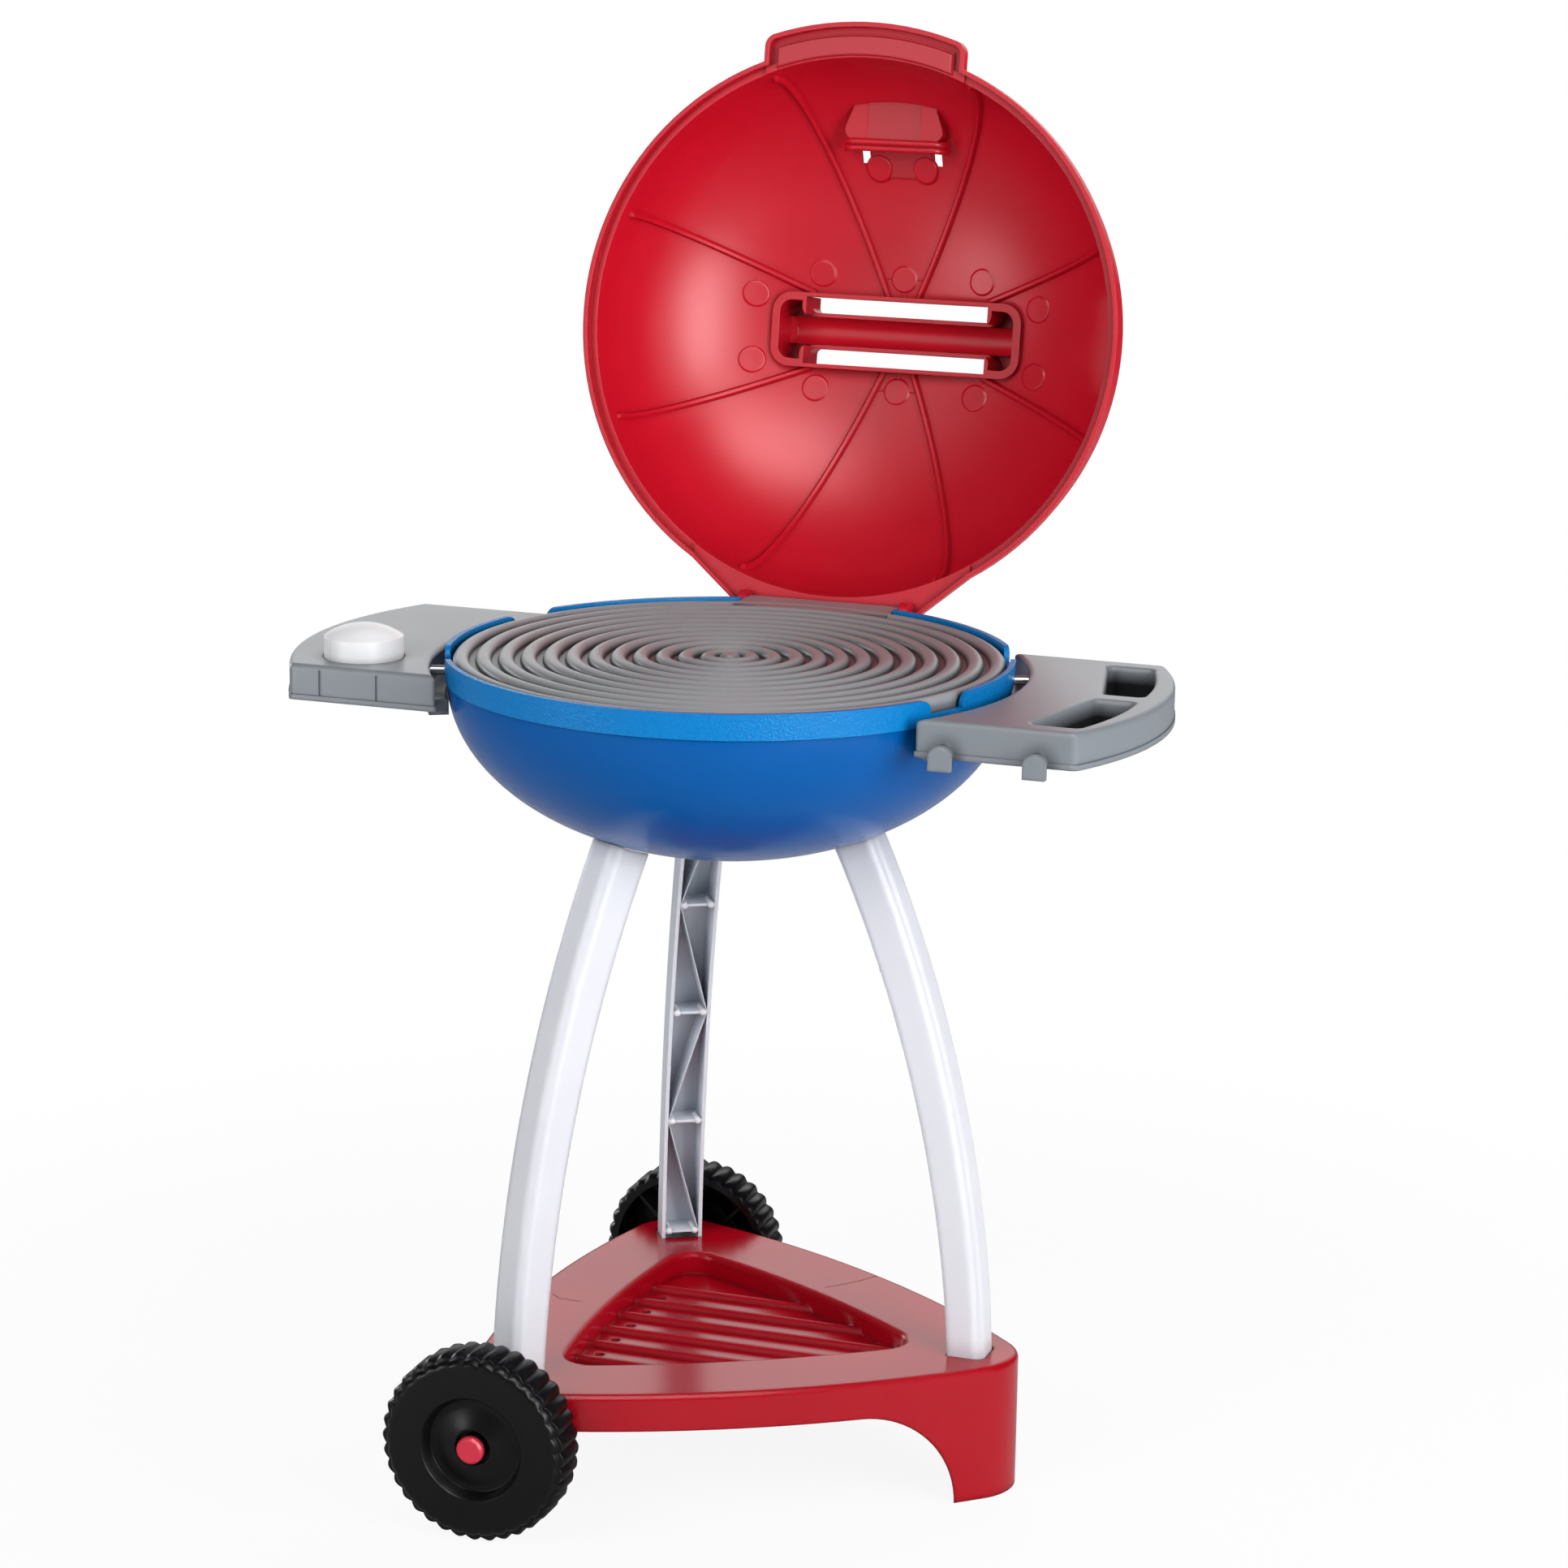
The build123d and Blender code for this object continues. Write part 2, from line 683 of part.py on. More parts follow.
# The push-handle shelf: a hollow tray upside down, with two hand holds and two tool hooks
with BuildPart() as shelf_right:
    with BuildSketch(Plane.XY.offset(shelf_foot)):
        add(shelf_outline(0, 1))
    extrude(amount=shelf_skirt)
    fillet(shelf_right.faces().sort_by(Axis.Z)[-1].edges(), shelf_round)
    with BuildSketch(Plane.XY.offset(shelf_foot)):
        add(shelf_outline(-shelf_lip, 1))
    extrude(amount=shelf_lip_height)
    with BuildSketch(Plane.XY.offset(shelf_foot)):
        add(shelf_outline(shelf_wall, 1))
        add(grip_outlines(shelf_wall), mode=Mode.SUBTRACT)
    extrude(amount=shelf_skirt - shelf_plate, mode=Mode.SUBTRACT)
    with BuildSketch(Plane.XY.offset(shelf_top - shelf_plate - shelf_rib_depth)):
        for side in (-1, 1):
            with Locations((0, side * shelf_rib_y)):
                Rectangle(2 * shelf_reach, shelf_rib)
        add(shelf_outline(shelf_wall / 2, 1), mode=Mode.INTERSECT)
        add(grip_outlines(shelf_wall / 2), mode=Mode.SUBTRACT)
    extrude(amount=shelf_plate / 2 + shelf_rib_depth)
    with BuildSketch(Plane.XY.offset(shelf_top - tongue_drop - tongue_height)):
        Circle(body_radius + seat_gap + tongue_width)
        with BuildLine():
            Polyline((0, 0), (2 * shelf_reach, -2 * shelf_reach * tan(radians(tongue_angle))),
                     (2 * shelf_reach, 2 * shelf_reach * tan(radians(tongue_angle))), close=True)
        make_face(mode=Mode.INTERSECT)
        Circle(body_radius + seat_gap, mode=Mode.SUBTRACT)
    extrude(amount=tongue_height)
    for turn in (-pin_angle, pin_angle):
        with BuildSketch(facing(turn, shelf_inner + shelf_wall / 2, pin_height)):
            Circle(pin_boss_radius)
        extrude(amount=pin_boss_length)
        with BuildSketch(facing(turn, pin_inner, pin_height)):
            Circle(pin_radius + fit_gap)
        extrude(amount=pin_length + fit_gap, mode=Mode.SUBTRACT)
    with BuildSketch(Plane.XY.offset(shelf_foot - overrun)):
        add(grip_outlines(0))
    extrude(amount=shelf_skirt + 2 * overrun, mode=Mode.SUBTRACT)
    grip_edges = ShapeList()
    for wire in shelf_right.faces().sort_by(Axis.Z)[-1].inner_wires():
        grip_edges += wire.edges()
    fillet(grip_edges, grip_round)
    hook_height = shelf_top - hook_drop
    hook_places = [shelf_front_x + share * (shelf_corner_x - shelf_front_x) for share in hook_shares]
    with BuildSketch(Plane.XZ.offset(shelf_half_depth - shelf_wall / 2)):
        for place in hook_places:
            with Locations((place, hook_height)):
                Circle(hook_radius)
    extrude(amount=hook_stand + shelf_wall / 2)
    with BuildSketch(Plane.XZ.offset(shelf_half_depth + hook_stand)):
        for place in hook_places:
            with Locations((place, hook_height)):
                Circle(hook_plate_width / 2)
                Rectangle(hook_plate_width, hook_plate_drop, align=(Align.CENTER, Align.MAX))
    extrude(amount=hook_plate)
shelf_right.part.label = "shelf_right"

# The other shelf: the same tray mirrored, with the knob's well and stem bearing
with BuildPart() as shelf_left:
    with BuildSketch(Plane.XY.offset(shelf_foot)):
        add(shelf_outline(0, -1))
    extrude(amount=shelf_skirt)
    fillet(shelf_left.faces().sort_by(Axis.Z)[-1].edges(), shelf_round)
    with BuildSketch(Plane.XY.offset(shelf_foot)):
        add(shelf_outline(-shelf_lip, -1))
    extrude(amount=shelf_lip_height)
    with BuildSketch(Plane.XY.offset(shelf_foot)):
        add(shelf_outline(shelf_wall, -1))
    extrude(amount=shelf_skirt - shelf_plate, mode=Mode.SUBTRACT)
    with BuildSketch(Plane.XY.offset(shelf_top - shelf_plate - shelf_rib_depth)):
        for side in (-1, 1):
            with Locations((0, side * shelf_rib_y)):
                Rectangle(2 * shelf_reach, shelf_rib)
        add(shelf_outline(shelf_wall / 2, -1), mode=Mode.INTERSECT)
    extrude(amount=shelf_plate / 2 + shelf_rib_depth)
    with BuildSketch(Plane.XY.offset(shelf_top - tongue_drop - tongue_height)):
        Circle(body_radius + seat_gap + tongue_width)
        with BuildLine():
            Polyline((0, 0), (-2 * shelf_reach, -2 * shelf_reach * tan(radians(tongue_angle))),
                     (-2 * shelf_reach, 2 * shelf_reach * tan(radians(tongue_angle))), close=True)
        make_face(mode=Mode.INTERSECT)
        Circle(body_radius + seat_gap, mode=Mode.SUBTRACT)
    extrude(amount=tongue_height)
    for turn in (180 - pin_angle, 180 + pin_angle):
        with BuildSketch(facing(turn, shelf_inner + shelf_wall / 2, pin_height)):
            Circle(pin_boss_radius)
        extrude(amount=pin_boss_length)
        with BuildSketch(facing(turn, pin_inner, pin_height)):
            Circle(pin_radius + fit_gap)
        extrude(amount=pin_length + fit_gap, mode=Mode.SUBTRACT)
    with BuildSketch(Plane.XY.offset(shelf_top - well_depth)):
        with Locations((knob_x, knob_y)):
            Circle(knob_radius + well_gap)
    extrude(amount=well_depth + overrun, mode=Mode.SUBTRACT)
    with BuildSketch(Plane.XY.offset(shelf_top - shelf_plate - stem_boss_length)):
        with Locations((knob_x, knob_y)):
            Circle(stem_radius + stem_boss_wall)
    extrude(amount=stem_boss_length + shelf_plate / 2)
    with BuildSketch(Plane.XY.offset(shelf_foot)):
        with Locations((knob_x, knob_y)):
            Circle(stem_radius + running_gap)
    extrude(amount=shelf_skirt + overrun, mode=Mode.SUBTRACT)
    with BuildSketch(Plane.XZ.offset(shelf_half_depth)):
        for share in face_groove_shares:
            place = shelf_front_x + share * (shelf_corner_x - shelf_front_x)
            with Locations((-place, shelf_foot + shelf_lip_height)):
                Rectangle(face_groove_width, shelf_skirt - shelf_lip_height - shelf_round,
                          align=(Align.CENTER, Align.MIN))
    extrude(amount=-face_groove_depth, mode=Mode.SUBTRACT)
shelf_left.part.label = "shelf_left"

# Steel pins that carry the shelves in the bowl's rim band
with BuildPart() as shelf_pins_right:
    for turn in (-pin_angle, pin_angle):
        with BuildSketch(facing(turn, pin_inner, pin_height)):
            Circle(pin_radius)
        extrude(amount=pin_length)
shelf_pins_right.part.label = "shelf_pins_right"

with BuildPart() as shelf_pins_left:
    for turn in (180 - pin_angle, 180 + pin_angle):
        with BuildSketch(facing(turn, pin_inner, pin_height)):
            Circle(pin_radius)
        extrude(amount=pin_length)
shelf_pins_left.part.label = "shelf_pins_left"

# The knob: a domed cap with a pointer nib and a stem, held by a washer and a screw from beneath
knob_axis = Axis((knob_x, knob_y, 0), (0, 0, 1))
knob_plane = Plane(origin=(knob_x, knob_y, 0), x_dir=(1, 0, 0), z_dir=(0, -1, 0))
knob_rise = knob_height - knob_side
crown_radius = (knob_radius ** 2 + knob_rise ** 2) / (2 * knob_rise)
with BuildPart() as knob:
    with BuildSketch(knob_plane):
        with BuildLine():
            half = knob_radius / 2
            ThreePointArc((knob_radius, knob_foot + knob_side),
                          (half, knob_foot + knob_height - crown_radius
                           + sqrt(crown_radius ** 2 - half ** 2)),
                          (0, knob_foot + knob_height))
            Polyline((0, knob_foot + knob_height), (0, knob_foot), (knob_radius, knob_foot),
                     (knob_radius, knob_foot + knob_side))
        make_face()
    revolve(axis=knob_axis)
    with BuildSketch(Plane.XY.offset(knob_foot)):
        with Locations((knob_x, knob_y)):
            Circle(knob_radius - knob_wall)
            Circle(stem_radius, mode=Mode.SUBTRACT)
    extrude(amount=knob_side - knob_wall, mode=Mode.SUBTRACT)
    with BuildSketch(Plane.XY.offset(knob_foot)):
        with Locations(Location((knob_x, knob_y), pointer_angle)):
            with Locations((knob_radius - knob_wall / 2, 0)):
                Rectangle(pointer_rise + knob_wall / 2, pointer_width,
                          align=(Align.MIN, Align.CENTER))
    extrude(amount=knob_side)
    with BuildSketch(Plane.XY.offset(stem_foot)):
        with Locations((knob_x, knob_y)):
            Circle(stem_radius)
    extrude(amount=knob_foot - stem_foot + knob_wall)
    with BuildSketch(Plane.XY.offset(stem_foot)):
        with Locations((knob_x, knob_y)):
            Circle(knob_screw_radius + fit_gap)
    extrude(amount=knob_screw_length, mode=Mode.SUBTRACT)
knob.part.label = "knob"

with BuildPart() as knob_washer:
    with BuildSketch(Plane.XY.offset(stem_foot - washer_thickness)):
        with Locations((knob_x, knob_y)):
            Circle(washer_radius)
            Circle(knob_screw_radius + fit_gap, mode=Mode.SUBTRACT)
    extrude(amount=washer_thickness)
knob_washer.part.label = "knob_washer"

with BuildPart() as knob_screw:
    with BuildSketch(Plane.XY.offset(stem_foot - washer_thickness)):
        with Locations((knob_x, knob_y)):
            Circle(knob_screw_radius)
    extrude(amount=knob_screw_length)
    with BuildSketch(Plane.XY.offset(stem_foot - washer_thickness - knob_head_height)):
        with Locations((knob_x, knob_y)):
            Circle(knob_head_radius)
    extrude(amount=knob_head_height)
knob_screw.part.label = "knob_screw"

# The hollow of a leg: a channel open towards the bowl's axis, crossed by webs and zigzag ribs
with BuildPart() as leg_channel:
    inner_half = leg_width / 2 - leg_wall
    with BuildSketch(Plane.XZ):
        add(leg_outline(leg_wall, overrun))
    extrude(amount=inner_half, both=True)
    side = 1
    for step in range(-1, web_below):
        height = web_top_height - step * web_pitch
        with BuildSketch(Plane.YZ):
            with BuildLine():
                Polyline((-side * inner_half, height - web_thickness / 2),
                         (side * inner_half, height - web_pitch - web_thickness / 2),
                         (side * inner_half, height - web_pitch + web_thickness / 2),
                         (-side * inner_half, height + web_thickness / 2), close=True)
            make_face()
            with Locations((0, height - web_pitch)):
                Rectangle(leg_width, web_thickness)
        extrude(amount=socket_outer, mode=Mode.SUBTRACT)
        side = -side
    with BuildSketch(Plane.XY.offset(leg_boss_height)):
        with Locations((leg_boss_reach, 0)):
            Circle(leg_boss_radius)
    extrude(amount=leg_top_height - leg_boss_height, mode=Mode.SUBTRACT)
    with BuildSketch(facing(0, socket_inner, foot_screw_height)):
        Circle(leg_boss_radius)
    extrude(amount=leg_width, mode=Mode.SUBTRACT)

# A leg, drawn on the right: round-backed channel, its head cut to the bowl
with BuildPart() as leg:
    with BuildSketch(Plane.XZ):
        add(leg_outline(0, 0))
    extrude(amount=leg_width / 2, both=True)
    fillet(leg.edges().filter_by(GeomType.CIRCLE).sort_by(SortBy.RADIUS)[-2:], leg_round)
    add(leg_channel.part, mode=Mode.SUBTRACT)
    with BuildSketch(Plane.XZ):
        add(bowl_section(body_radius + seat_gap, body_depth + seat_gap, band_foot, rim_top,
                         body_radius + seat_gap))
    revolve(axis=Axis.Z, mode=Mode.SUBTRACT)
    with BuildSketch(Plane.XY.offset(screw_seat_height - leg_screw_length)):
        with Locations((leg_boss_reach, 0)):
            Circle(leg_screw_radius + fit_gap)
    extrude(amount=leg_screw_length, mode=Mode.SUBTRACT)
    with BuildSketch(facing(0, socket_inner - socket_wall, foot_screw_height)):
        Circle(leg_screw_radius + fit_gap)
    extrude(amount=foot_screw_length, mode=Mode.SUBTRACT)

with BuildPart() as leg_screws_upper:
    with BuildSketch(Plane.XY.offset(screw_seat_height - leg_screw_length)):
        with PolarLocations(leg_boss_reach, leg_count):
            Circle(leg_screw_radius)
    extrude(amount=leg_screw_length)
    with BuildSketch(Plane.XY.offset(screw_seat_height)):
        with PolarLocations(leg_boss_reach, leg_count):
            Circle(screw_head_radius)
    extrude(amount=screw_head_height)
leg_screws_upper.part.label = "leg_screws_upper"

with BuildPart() as leg_screws_lower:
    for angle in leg_turns:
        with BuildSketch(facing(angle, socket_inner - socket_wall, foot_screw_height)):
            Circle(leg_screw_radius)
        extrude(amount=foot_screw_length)
        with BuildSketch(facing(angle, socket_inner - socket_wall, foot_screw_height)):
            Circle(screw_head_radius)
        extrude(amount=-screw_head_height)
leg_screws_lower.part.label = "leg_screws_lower"

# The round bars on the tray's floor, cut to its outline
with BuildPart() as tray_bars:
    with BuildSketch(Plane.YZ.offset(-tray_corner_reach)):
        for bar in range(bar_count):
            with Locations(((bar - (bar_count - 1) / 2) * bar_pitch, base_top - tray_depth)):
                Circle(bar_radius)
    extrude(amount=2 * tray_corner_reach)
    with BuildSketch(Plane.XY.offset(base_top - tray_depth - base_wall / 2)):
        add(bulged_triangle(tray_corner_reach, tray_side_reach, tray_corner))
    extrude(amount=tray_depth, mode=Mode.INTERSECT)

# The trolley base: a skirted triangle with a foot, a tray, leg sockets and axle housings
with BuildPart() as base_tray:
    with BuildSketch():
        add(bulged_triangle(base_corner_reach, base_side_reach, base_corner))
    extrude(amount=base_top)
    with BuildSketch(Plane.XZ):
        with BuildLine():
            arch = EllipticalCenterArc((foot_inner - arch_run, 0), arch_run, skirt_foot,
                                       start_angle=0, arc_size=90)
            Polyline(arch @ 1, (-base_corner_reach, skirt_foot), (-base_corner_reach, -overrun),
                     (foot_inner, -overrun), arch @ 0)
        make_face()
    extrude(amount=base_corner_reach, both=True, mode=Mode.SUBTRACT)
    fillet(base_tray.faces().sort_by(Axis.Z)[-1].edges(), base_round)
    with BuildSketch(Plane.XY.offset(base_wall)):
        add(bulged_triangle(base_corner_reach, base_side_reach, base_corner, base_wall))
    extrude(amount=base_top - 2 * base_wall, mode=Mode.SUBTRACT)
    # the tray let into the top
    with BuildSketch(Plane.XY.offset(base_top - tray_depth - base_wall)):
        add(bulged_triangle(tray_corner_reach, tray_side_reach, tray_corner, -base_wall))
    extrude(amount=tray_depth + base_wall / 2)
    with BuildSketch(Plane.XY.offset(base_top - tray_depth)):
        add(bulged_triangle(tray_corner_reach, tray_side_reach, tray_corner))
    extrude(amount=tray_depth + overrun, mode=Mode.SUBTRACT)
    tray_edges = ShapeList()
    for wire in base_tray.faces().sort_by(Axis.Z)[-1].inner_wires():
        tray_edges += wire.edges()
    fillet(tray_edges, tray_round)
    add(tray_bars.part)
    with BuildSketch(Plane.XY.offset(skirt_foot)):
        for drain in range(drain_count):
            with Locations((drain_x, (drain - (drain_count - 1) / 2) * bar_pitch)):
                Circle(drain_radius)
    extrude(amount=base_skirt, mode=Mode.SUBTRACT)
    # sockets for the legs and housings for the axle pins
    socket_length = socket_outer - socket_inner
    socket_middle = (socket_outer + socket_inner) / 2
    with BuildSketch(Plane.XY.offset(skirt_foot)):
        with PolarLocations(socket_middle, leg_count):
            Rectangle(socket_length + 2 * socket_wall, leg_width + 2 * socket_gap + 2 * socket_wall)
    extrude(amount=base_skirt - base_wall / 2)
    for side in (-1, 1):
        with BuildSketch(Plane.XZ.offset(-side * housing_start)):
            with Locations((axle_x, wheel_radius)):
                Circle(housing_radius)
                Rectangle(housing_web, base_top - base_wall / 2 - wheel_radius,
                          align=(Align.CENTER, Align.MIN))
        extrude(amount=-side * housing_length)
    with BuildSketch(Plane.XY.offset(leg_foot_height)) as socket_plan:
        with PolarLocations(socket_middle, leg_count):
            Rectangle(socket_length, leg_width + 2 * socket_gap)
        corners = socket_plan.vertices().sort_by_distance((0, 0, leg_foot_height))
        fillet(corners[-2 * leg_count:], leg_round)
    extrude(amount=base_skirt + overrun, mode=Mode.SUBTRACT)
    for side in (-1, 1):
        with BuildSketch(Plane.XZ.offset(-side * (housing_start - overrun))):
            with Locations((axle_x, wheel_radius)):
                Circle(axle_radius + running_gap)
        extrude(amount=-side * (housing_length + 2 * overrun), mode=Mode.SUBTRACT)
    for angle in leg_turns:
        with BuildSketch(facing(angle, socket_inner - socket_wall - overrun, foot_screw_height)):
            Circle(leg_screw_radius + fit_gap)
        extrude(amount=socket_wall + 2 * overrun, mode=Mode.SUBTRACT)
base_tray.part.label = "base_tray"

# A wheel: lobed tread with shoulders, web with a dish outside, hub and ribs in the hollow inside
axle_line = Axis((axle_x, 0, wheel_radius), (0, 1, 0))
axle_plane = Plane(origin=(axle_x, 0, wheel_radius), x_dir=(1, 0, 0), z_dir=(0, 0, 1))
lobe_turn = 2 * pi / lobe_count
with BuildPart() as wheel_rear:
    with BuildSketch(Plane.XZ.offset(-wheel_inner)):
        with BuildLine():
            for lobe in range(lobe_count):
                points = []
                for turn, reach in ((-lobe_turn / 2, wheel_radius - lobe_depth), (0, wheel_radius),
                                    (lobe_turn / 2, wheel_radius - lobe_depth)):
                    angle = lobe * lobe_turn + turn
                    points.append((axle_x + reach * cos(angle), wheel_radius + reach * sin(angle)))
                ThreePointArc(*points)
        make_face()
    extrude(amount=-wheel_width)
    with BuildSketch(axle_plane):
        with BuildLine():
            Polyline((0, wheel_inner), (wheel_radius - shoulder_drop, wheel_inner),
                     (wheel_radius, wheel_inner + shoulder_width),
                     (wheel_radius, wheel_outer - shoulder_width),
                     (wheel_radius - shoulder_drop, wheel_outer), (0, wheel_outer), close=True)
        make_face()
    revolve(axis=axle_line, mode=Mode.INTERSECT)
    with BuildSketch(axle_plane):
        with BuildLine():
            Polyline((hub_radius, wheel_inner - overrun),
                     (wheel_radius - rim_thickness, wheel_inner - overrun),
                     (wheel_radius - rim_thickness, wheel_outer - wheel_web),
                     (dish_radius + wheel_web, wheel_outer - wheel_web),
                     (dish_foot_radius + wheel_web, wheel_outer - wheel_web - dish_depth),
                     (hub_radius, wheel_outer - wheel_web - dish_depth), close=True)
        make_face()
    revolve(axis=axle_line, mode=Mode.SUBTRACT)
    rib_length = wheel_radius - rim_thickness / 2 - hub_radius / 2
    with BuildSketch(Plane.XZ.offset(-wheel_inner - wheel_rib_inset)):
        with Locations((axle_x, wheel_radius)):
            with PolarLocations(hub_radius / 2 + rib_length / 2, wheel_rib_count):
                Rectangle(rib_length, wheel_rib)
    extrude(amount=wheel_rib_inset + wheel_web / 2 - wheel_width)
    with BuildSketch(axle_plane):
        with BuildLine():
            Polyline((0, head_seat - seat_gap), (hub_radius, head_seat - seat_gap),
                     (hub_radius, wheel_outer - dish_depth), (dish_foot_radius, wheel_outer - dish_depth),
                     (dish_radius, wheel_outer), (dish_radius, wheel_outer + overrun),
                     (0, wheel_outer + overrun), close=True)
        make_face()
    revolve(axis=axle_line, mode=Mode.SUBTRACT)
    with BuildSketch(Plane.XZ.offset(-wheel_inner + overrun)):
        with Locations((axle_x, wheel_radius)):
            Circle(axle_radius + running_gap)
    extrude(amount=-wheel_width - 2 * overrun, mode=Mode.SUBTRACT)
wheel_rear.part.label = "wheel_rear"

# An axle pin: domed head outside the wheel, split barbed end behind its housing
with BuildPart() as axle_rear:
    with BuildSketch(axle_plane):
        barb_foot = housing_start - seat_gap
        with BuildLine():
            Polyline((0, barb_foot - barb_length), (axle_radius - barb_height, barb_foot - barb_length),
                     (axle_radius + barb_height, barb_foot), (axle_radius, barb_foot),
                     (axle_radius, head_seat), (axle_head_radius, head_seat),
                     (axle_head_radius, head_seat + axle_head_height - axle_head_dome),
                     (axle_head_radius - axle_head_dome, head_seat + axle_head_height),
                     (0, head_seat + axle_head_height), close=True)
        make_face()
    revolve(axis=axle_line)
    with BuildSketch(Plane.XZ.offset(barb_length + overrun - barb_foot)):
        with Locations((axle_x, wheel_radius)):
            Rectangle(barb_slot, 2 * axle_head_radius)
    extrude(amount=-barb_slot_length - overrun, mode=Mode.SUBTRACT)
axle_rear.part.label = "axle_rear"

# Turn the lid open about its hinge, set the legs round and mirror the wheel and axle to the front
hinge_line = Axis((0, hinge_reach, hinge_height), (1, 0, 0))
pieces = {"lid": lid.part.rotate(hinge_line, -open_turn)}
for built in (hinge_rod, bowl, grate, shelf_left, shelf_right, shelf_pins_left, shelf_pins_right,
              knob, knob_washer, knob_screw, leg_screws_upper, leg_screws_lower, base_tray,
              wheel_rear, axle_rear):
    pieces[built.part.label] = built.part
for name, angle in zip(leg_names, leg_turns):
    pieces[name] = leg.part.rotate(Axis.Z, angle)
pieces["wheel_front"] = wheel_rear.part.mirror(Plane.XZ)
pieces["axle_front"] = axle_rear.part.mirror(Plane.XZ)

# Set the grill forward, so that the frame's origin lies under the middle of the open grill
for name, piece in pieces.items():
    placed = piece.moved(Location((0, -axis_setback, 0)))
    placed.label = name
    export_step(placed, "parts/" + name + ".step")
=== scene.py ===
# %% [markdown]
# # A toy kettle barbecue, dressed in Blender
#
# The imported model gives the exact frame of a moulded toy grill: a red domed lid standing open, a
# blue bowl with a ringed grate, two grey shelves, three white legs, a red tray base and two black
# wheels. This lesson dresses that frame. It first sets the camera where the photographer stood,
# then makes the plastics, and then builds finer surfaces for the pieces that the eye rests on.
#
# The first cell loads the frame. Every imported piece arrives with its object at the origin,
# unturned, so a piece's place is in its vertices. All lengths here are in metres.

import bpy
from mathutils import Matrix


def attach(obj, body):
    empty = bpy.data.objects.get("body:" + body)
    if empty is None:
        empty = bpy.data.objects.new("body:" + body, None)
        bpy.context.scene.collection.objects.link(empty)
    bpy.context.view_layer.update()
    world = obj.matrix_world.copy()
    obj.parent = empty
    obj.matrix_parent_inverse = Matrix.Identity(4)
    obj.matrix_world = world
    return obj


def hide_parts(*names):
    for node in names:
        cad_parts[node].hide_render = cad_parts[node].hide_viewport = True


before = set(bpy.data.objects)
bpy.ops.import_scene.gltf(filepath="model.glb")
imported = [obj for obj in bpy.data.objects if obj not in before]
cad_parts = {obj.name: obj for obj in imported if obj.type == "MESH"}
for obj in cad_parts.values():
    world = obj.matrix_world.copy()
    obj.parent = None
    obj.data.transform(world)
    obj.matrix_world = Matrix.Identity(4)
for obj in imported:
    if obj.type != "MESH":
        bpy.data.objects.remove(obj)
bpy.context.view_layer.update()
print("pieces:", sorted(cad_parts))

# %% [markdown]
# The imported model's origin lies on the floor, under the middle of its whole outline. With its lid
# standing open the grill reaches further back than forwards, so the middle of the bowl and of the
# base lies in front of the origin, by the setback.

# %% Import the rest
from math import cos, pi, radians, sin

import bmesh
import bpy
import numpy as np
from mathutils import Matrix, Vector

millimetre = 0.001
setback = 78.27 * millimetre
print("the grill's middle lies", setback, "m in front of the origin")

# %% [markdown]
# ## The camera
#
# The camera's place, turn and lens were solved from circles and corners of the object whose heights
# are known. The lens is long, about 102 mm on a 36 mm sensor, and stands about three metres away,
# so the grill is drawn almost without perspective. Turning the camera about its own view, then up
# from looking straight down, then about the upright axis gives the matrix that was solved.

# %% Set the camera
camera_place = Vector((931.5, -2607.1, 1118.7)) * millimetre - Vector((0, setback, 0))
camera_yaw = radians(18.926)
camera_pitch = radians(13.574)
camera_roll = radians(0.851)
image_side = 1932
focal_pixels = 5490.1

camera_data = bpy.data.cameras.new("camera")
camera_data.sensor_width = 36.0
camera_data.lens = focal_pixels * camera_data.sensor_width / image_side
camera = bpy.data.objects.new("camera", camera_data)
bpy.context.scene.collection.objects.link(camera)
camera.matrix_world = (Matrix.Translation(camera_place)
                       @ Matrix.Rotation(camera_yaw, 4, "Z")
                       @ Matrix.Rotation(pi / 2 - camera_pitch, 4, "X")
                       @ Matrix.Rotation(camera_roll, 4, "Z"))
bpy.context.scene.camera = camera
print("lens in mm:", round(camera_data.lens, 2))

# %% [markdown]
# ## Colours and a small node helper
#
# Colours are written as hex values, as they would be picked on a screen, and one function turns
# them into the linear values that the shaders use. Materials could be wired by hand in the shader
# editor, but a function that adds a node, sets it and links its inputs keeps each of them to a few
# lines that can be read from top to bottom. A Mix node's colours are its inputs 6 and 7.

# %% Define the helpers for materials
def linear(hex_colour):
    """sRGB hex to linear: c / 12.92 below 0.04045, ((c + 0.055) / 1.055) ** 2.4 above."""
    values = np.array([int(hex_colour[i:i + 2], 16) / 255 for i in (1, 3, 5)])
    line = np.where(values <= 0.04045, values / 12.92, ((values + 0.055) / 1.055) ** 2.4)
    return (*[float(v) for v in line], 1.0)


def add_node(tree, kind, inputs=None, **settings):
    """Add a shader node, such as "Math" or "TexNoise", with its settings, and fill its inputs.

    An input, by name or number, takes a plain value, another node's output, or a whole node,
    which stands for the first output that it has switched on."""
    node = tree.nodes.new("ShaderNode" + kind)
    for name, value in settings.items():
        setattr(node, name, value)
    for key, value in (inputs or {}).items():
        if isinstance(value, bpy.types.Node):
            value = next(output for output in value.outputs if output.enabled)
        if isinstance(value, bpy.types.NodeSocket):
            tree.links.new(value, node.inputs[key])
        else:
            node.inputs[key].default_value = value
    return node


def empty_material(name):
    """A material with an empty node tree, its tree, and the place on the piece in metres."""
    material = bpy.data.materials.new(name)
    material.use_nodes = True
    tree = material.node_tree
    tree.nodes.clear()
    return material, tree, add_node(tree, "TexCoord").outputs["Object"]


print("red in linear light:", [round(value, 3) for value in linear("#C80F28")])

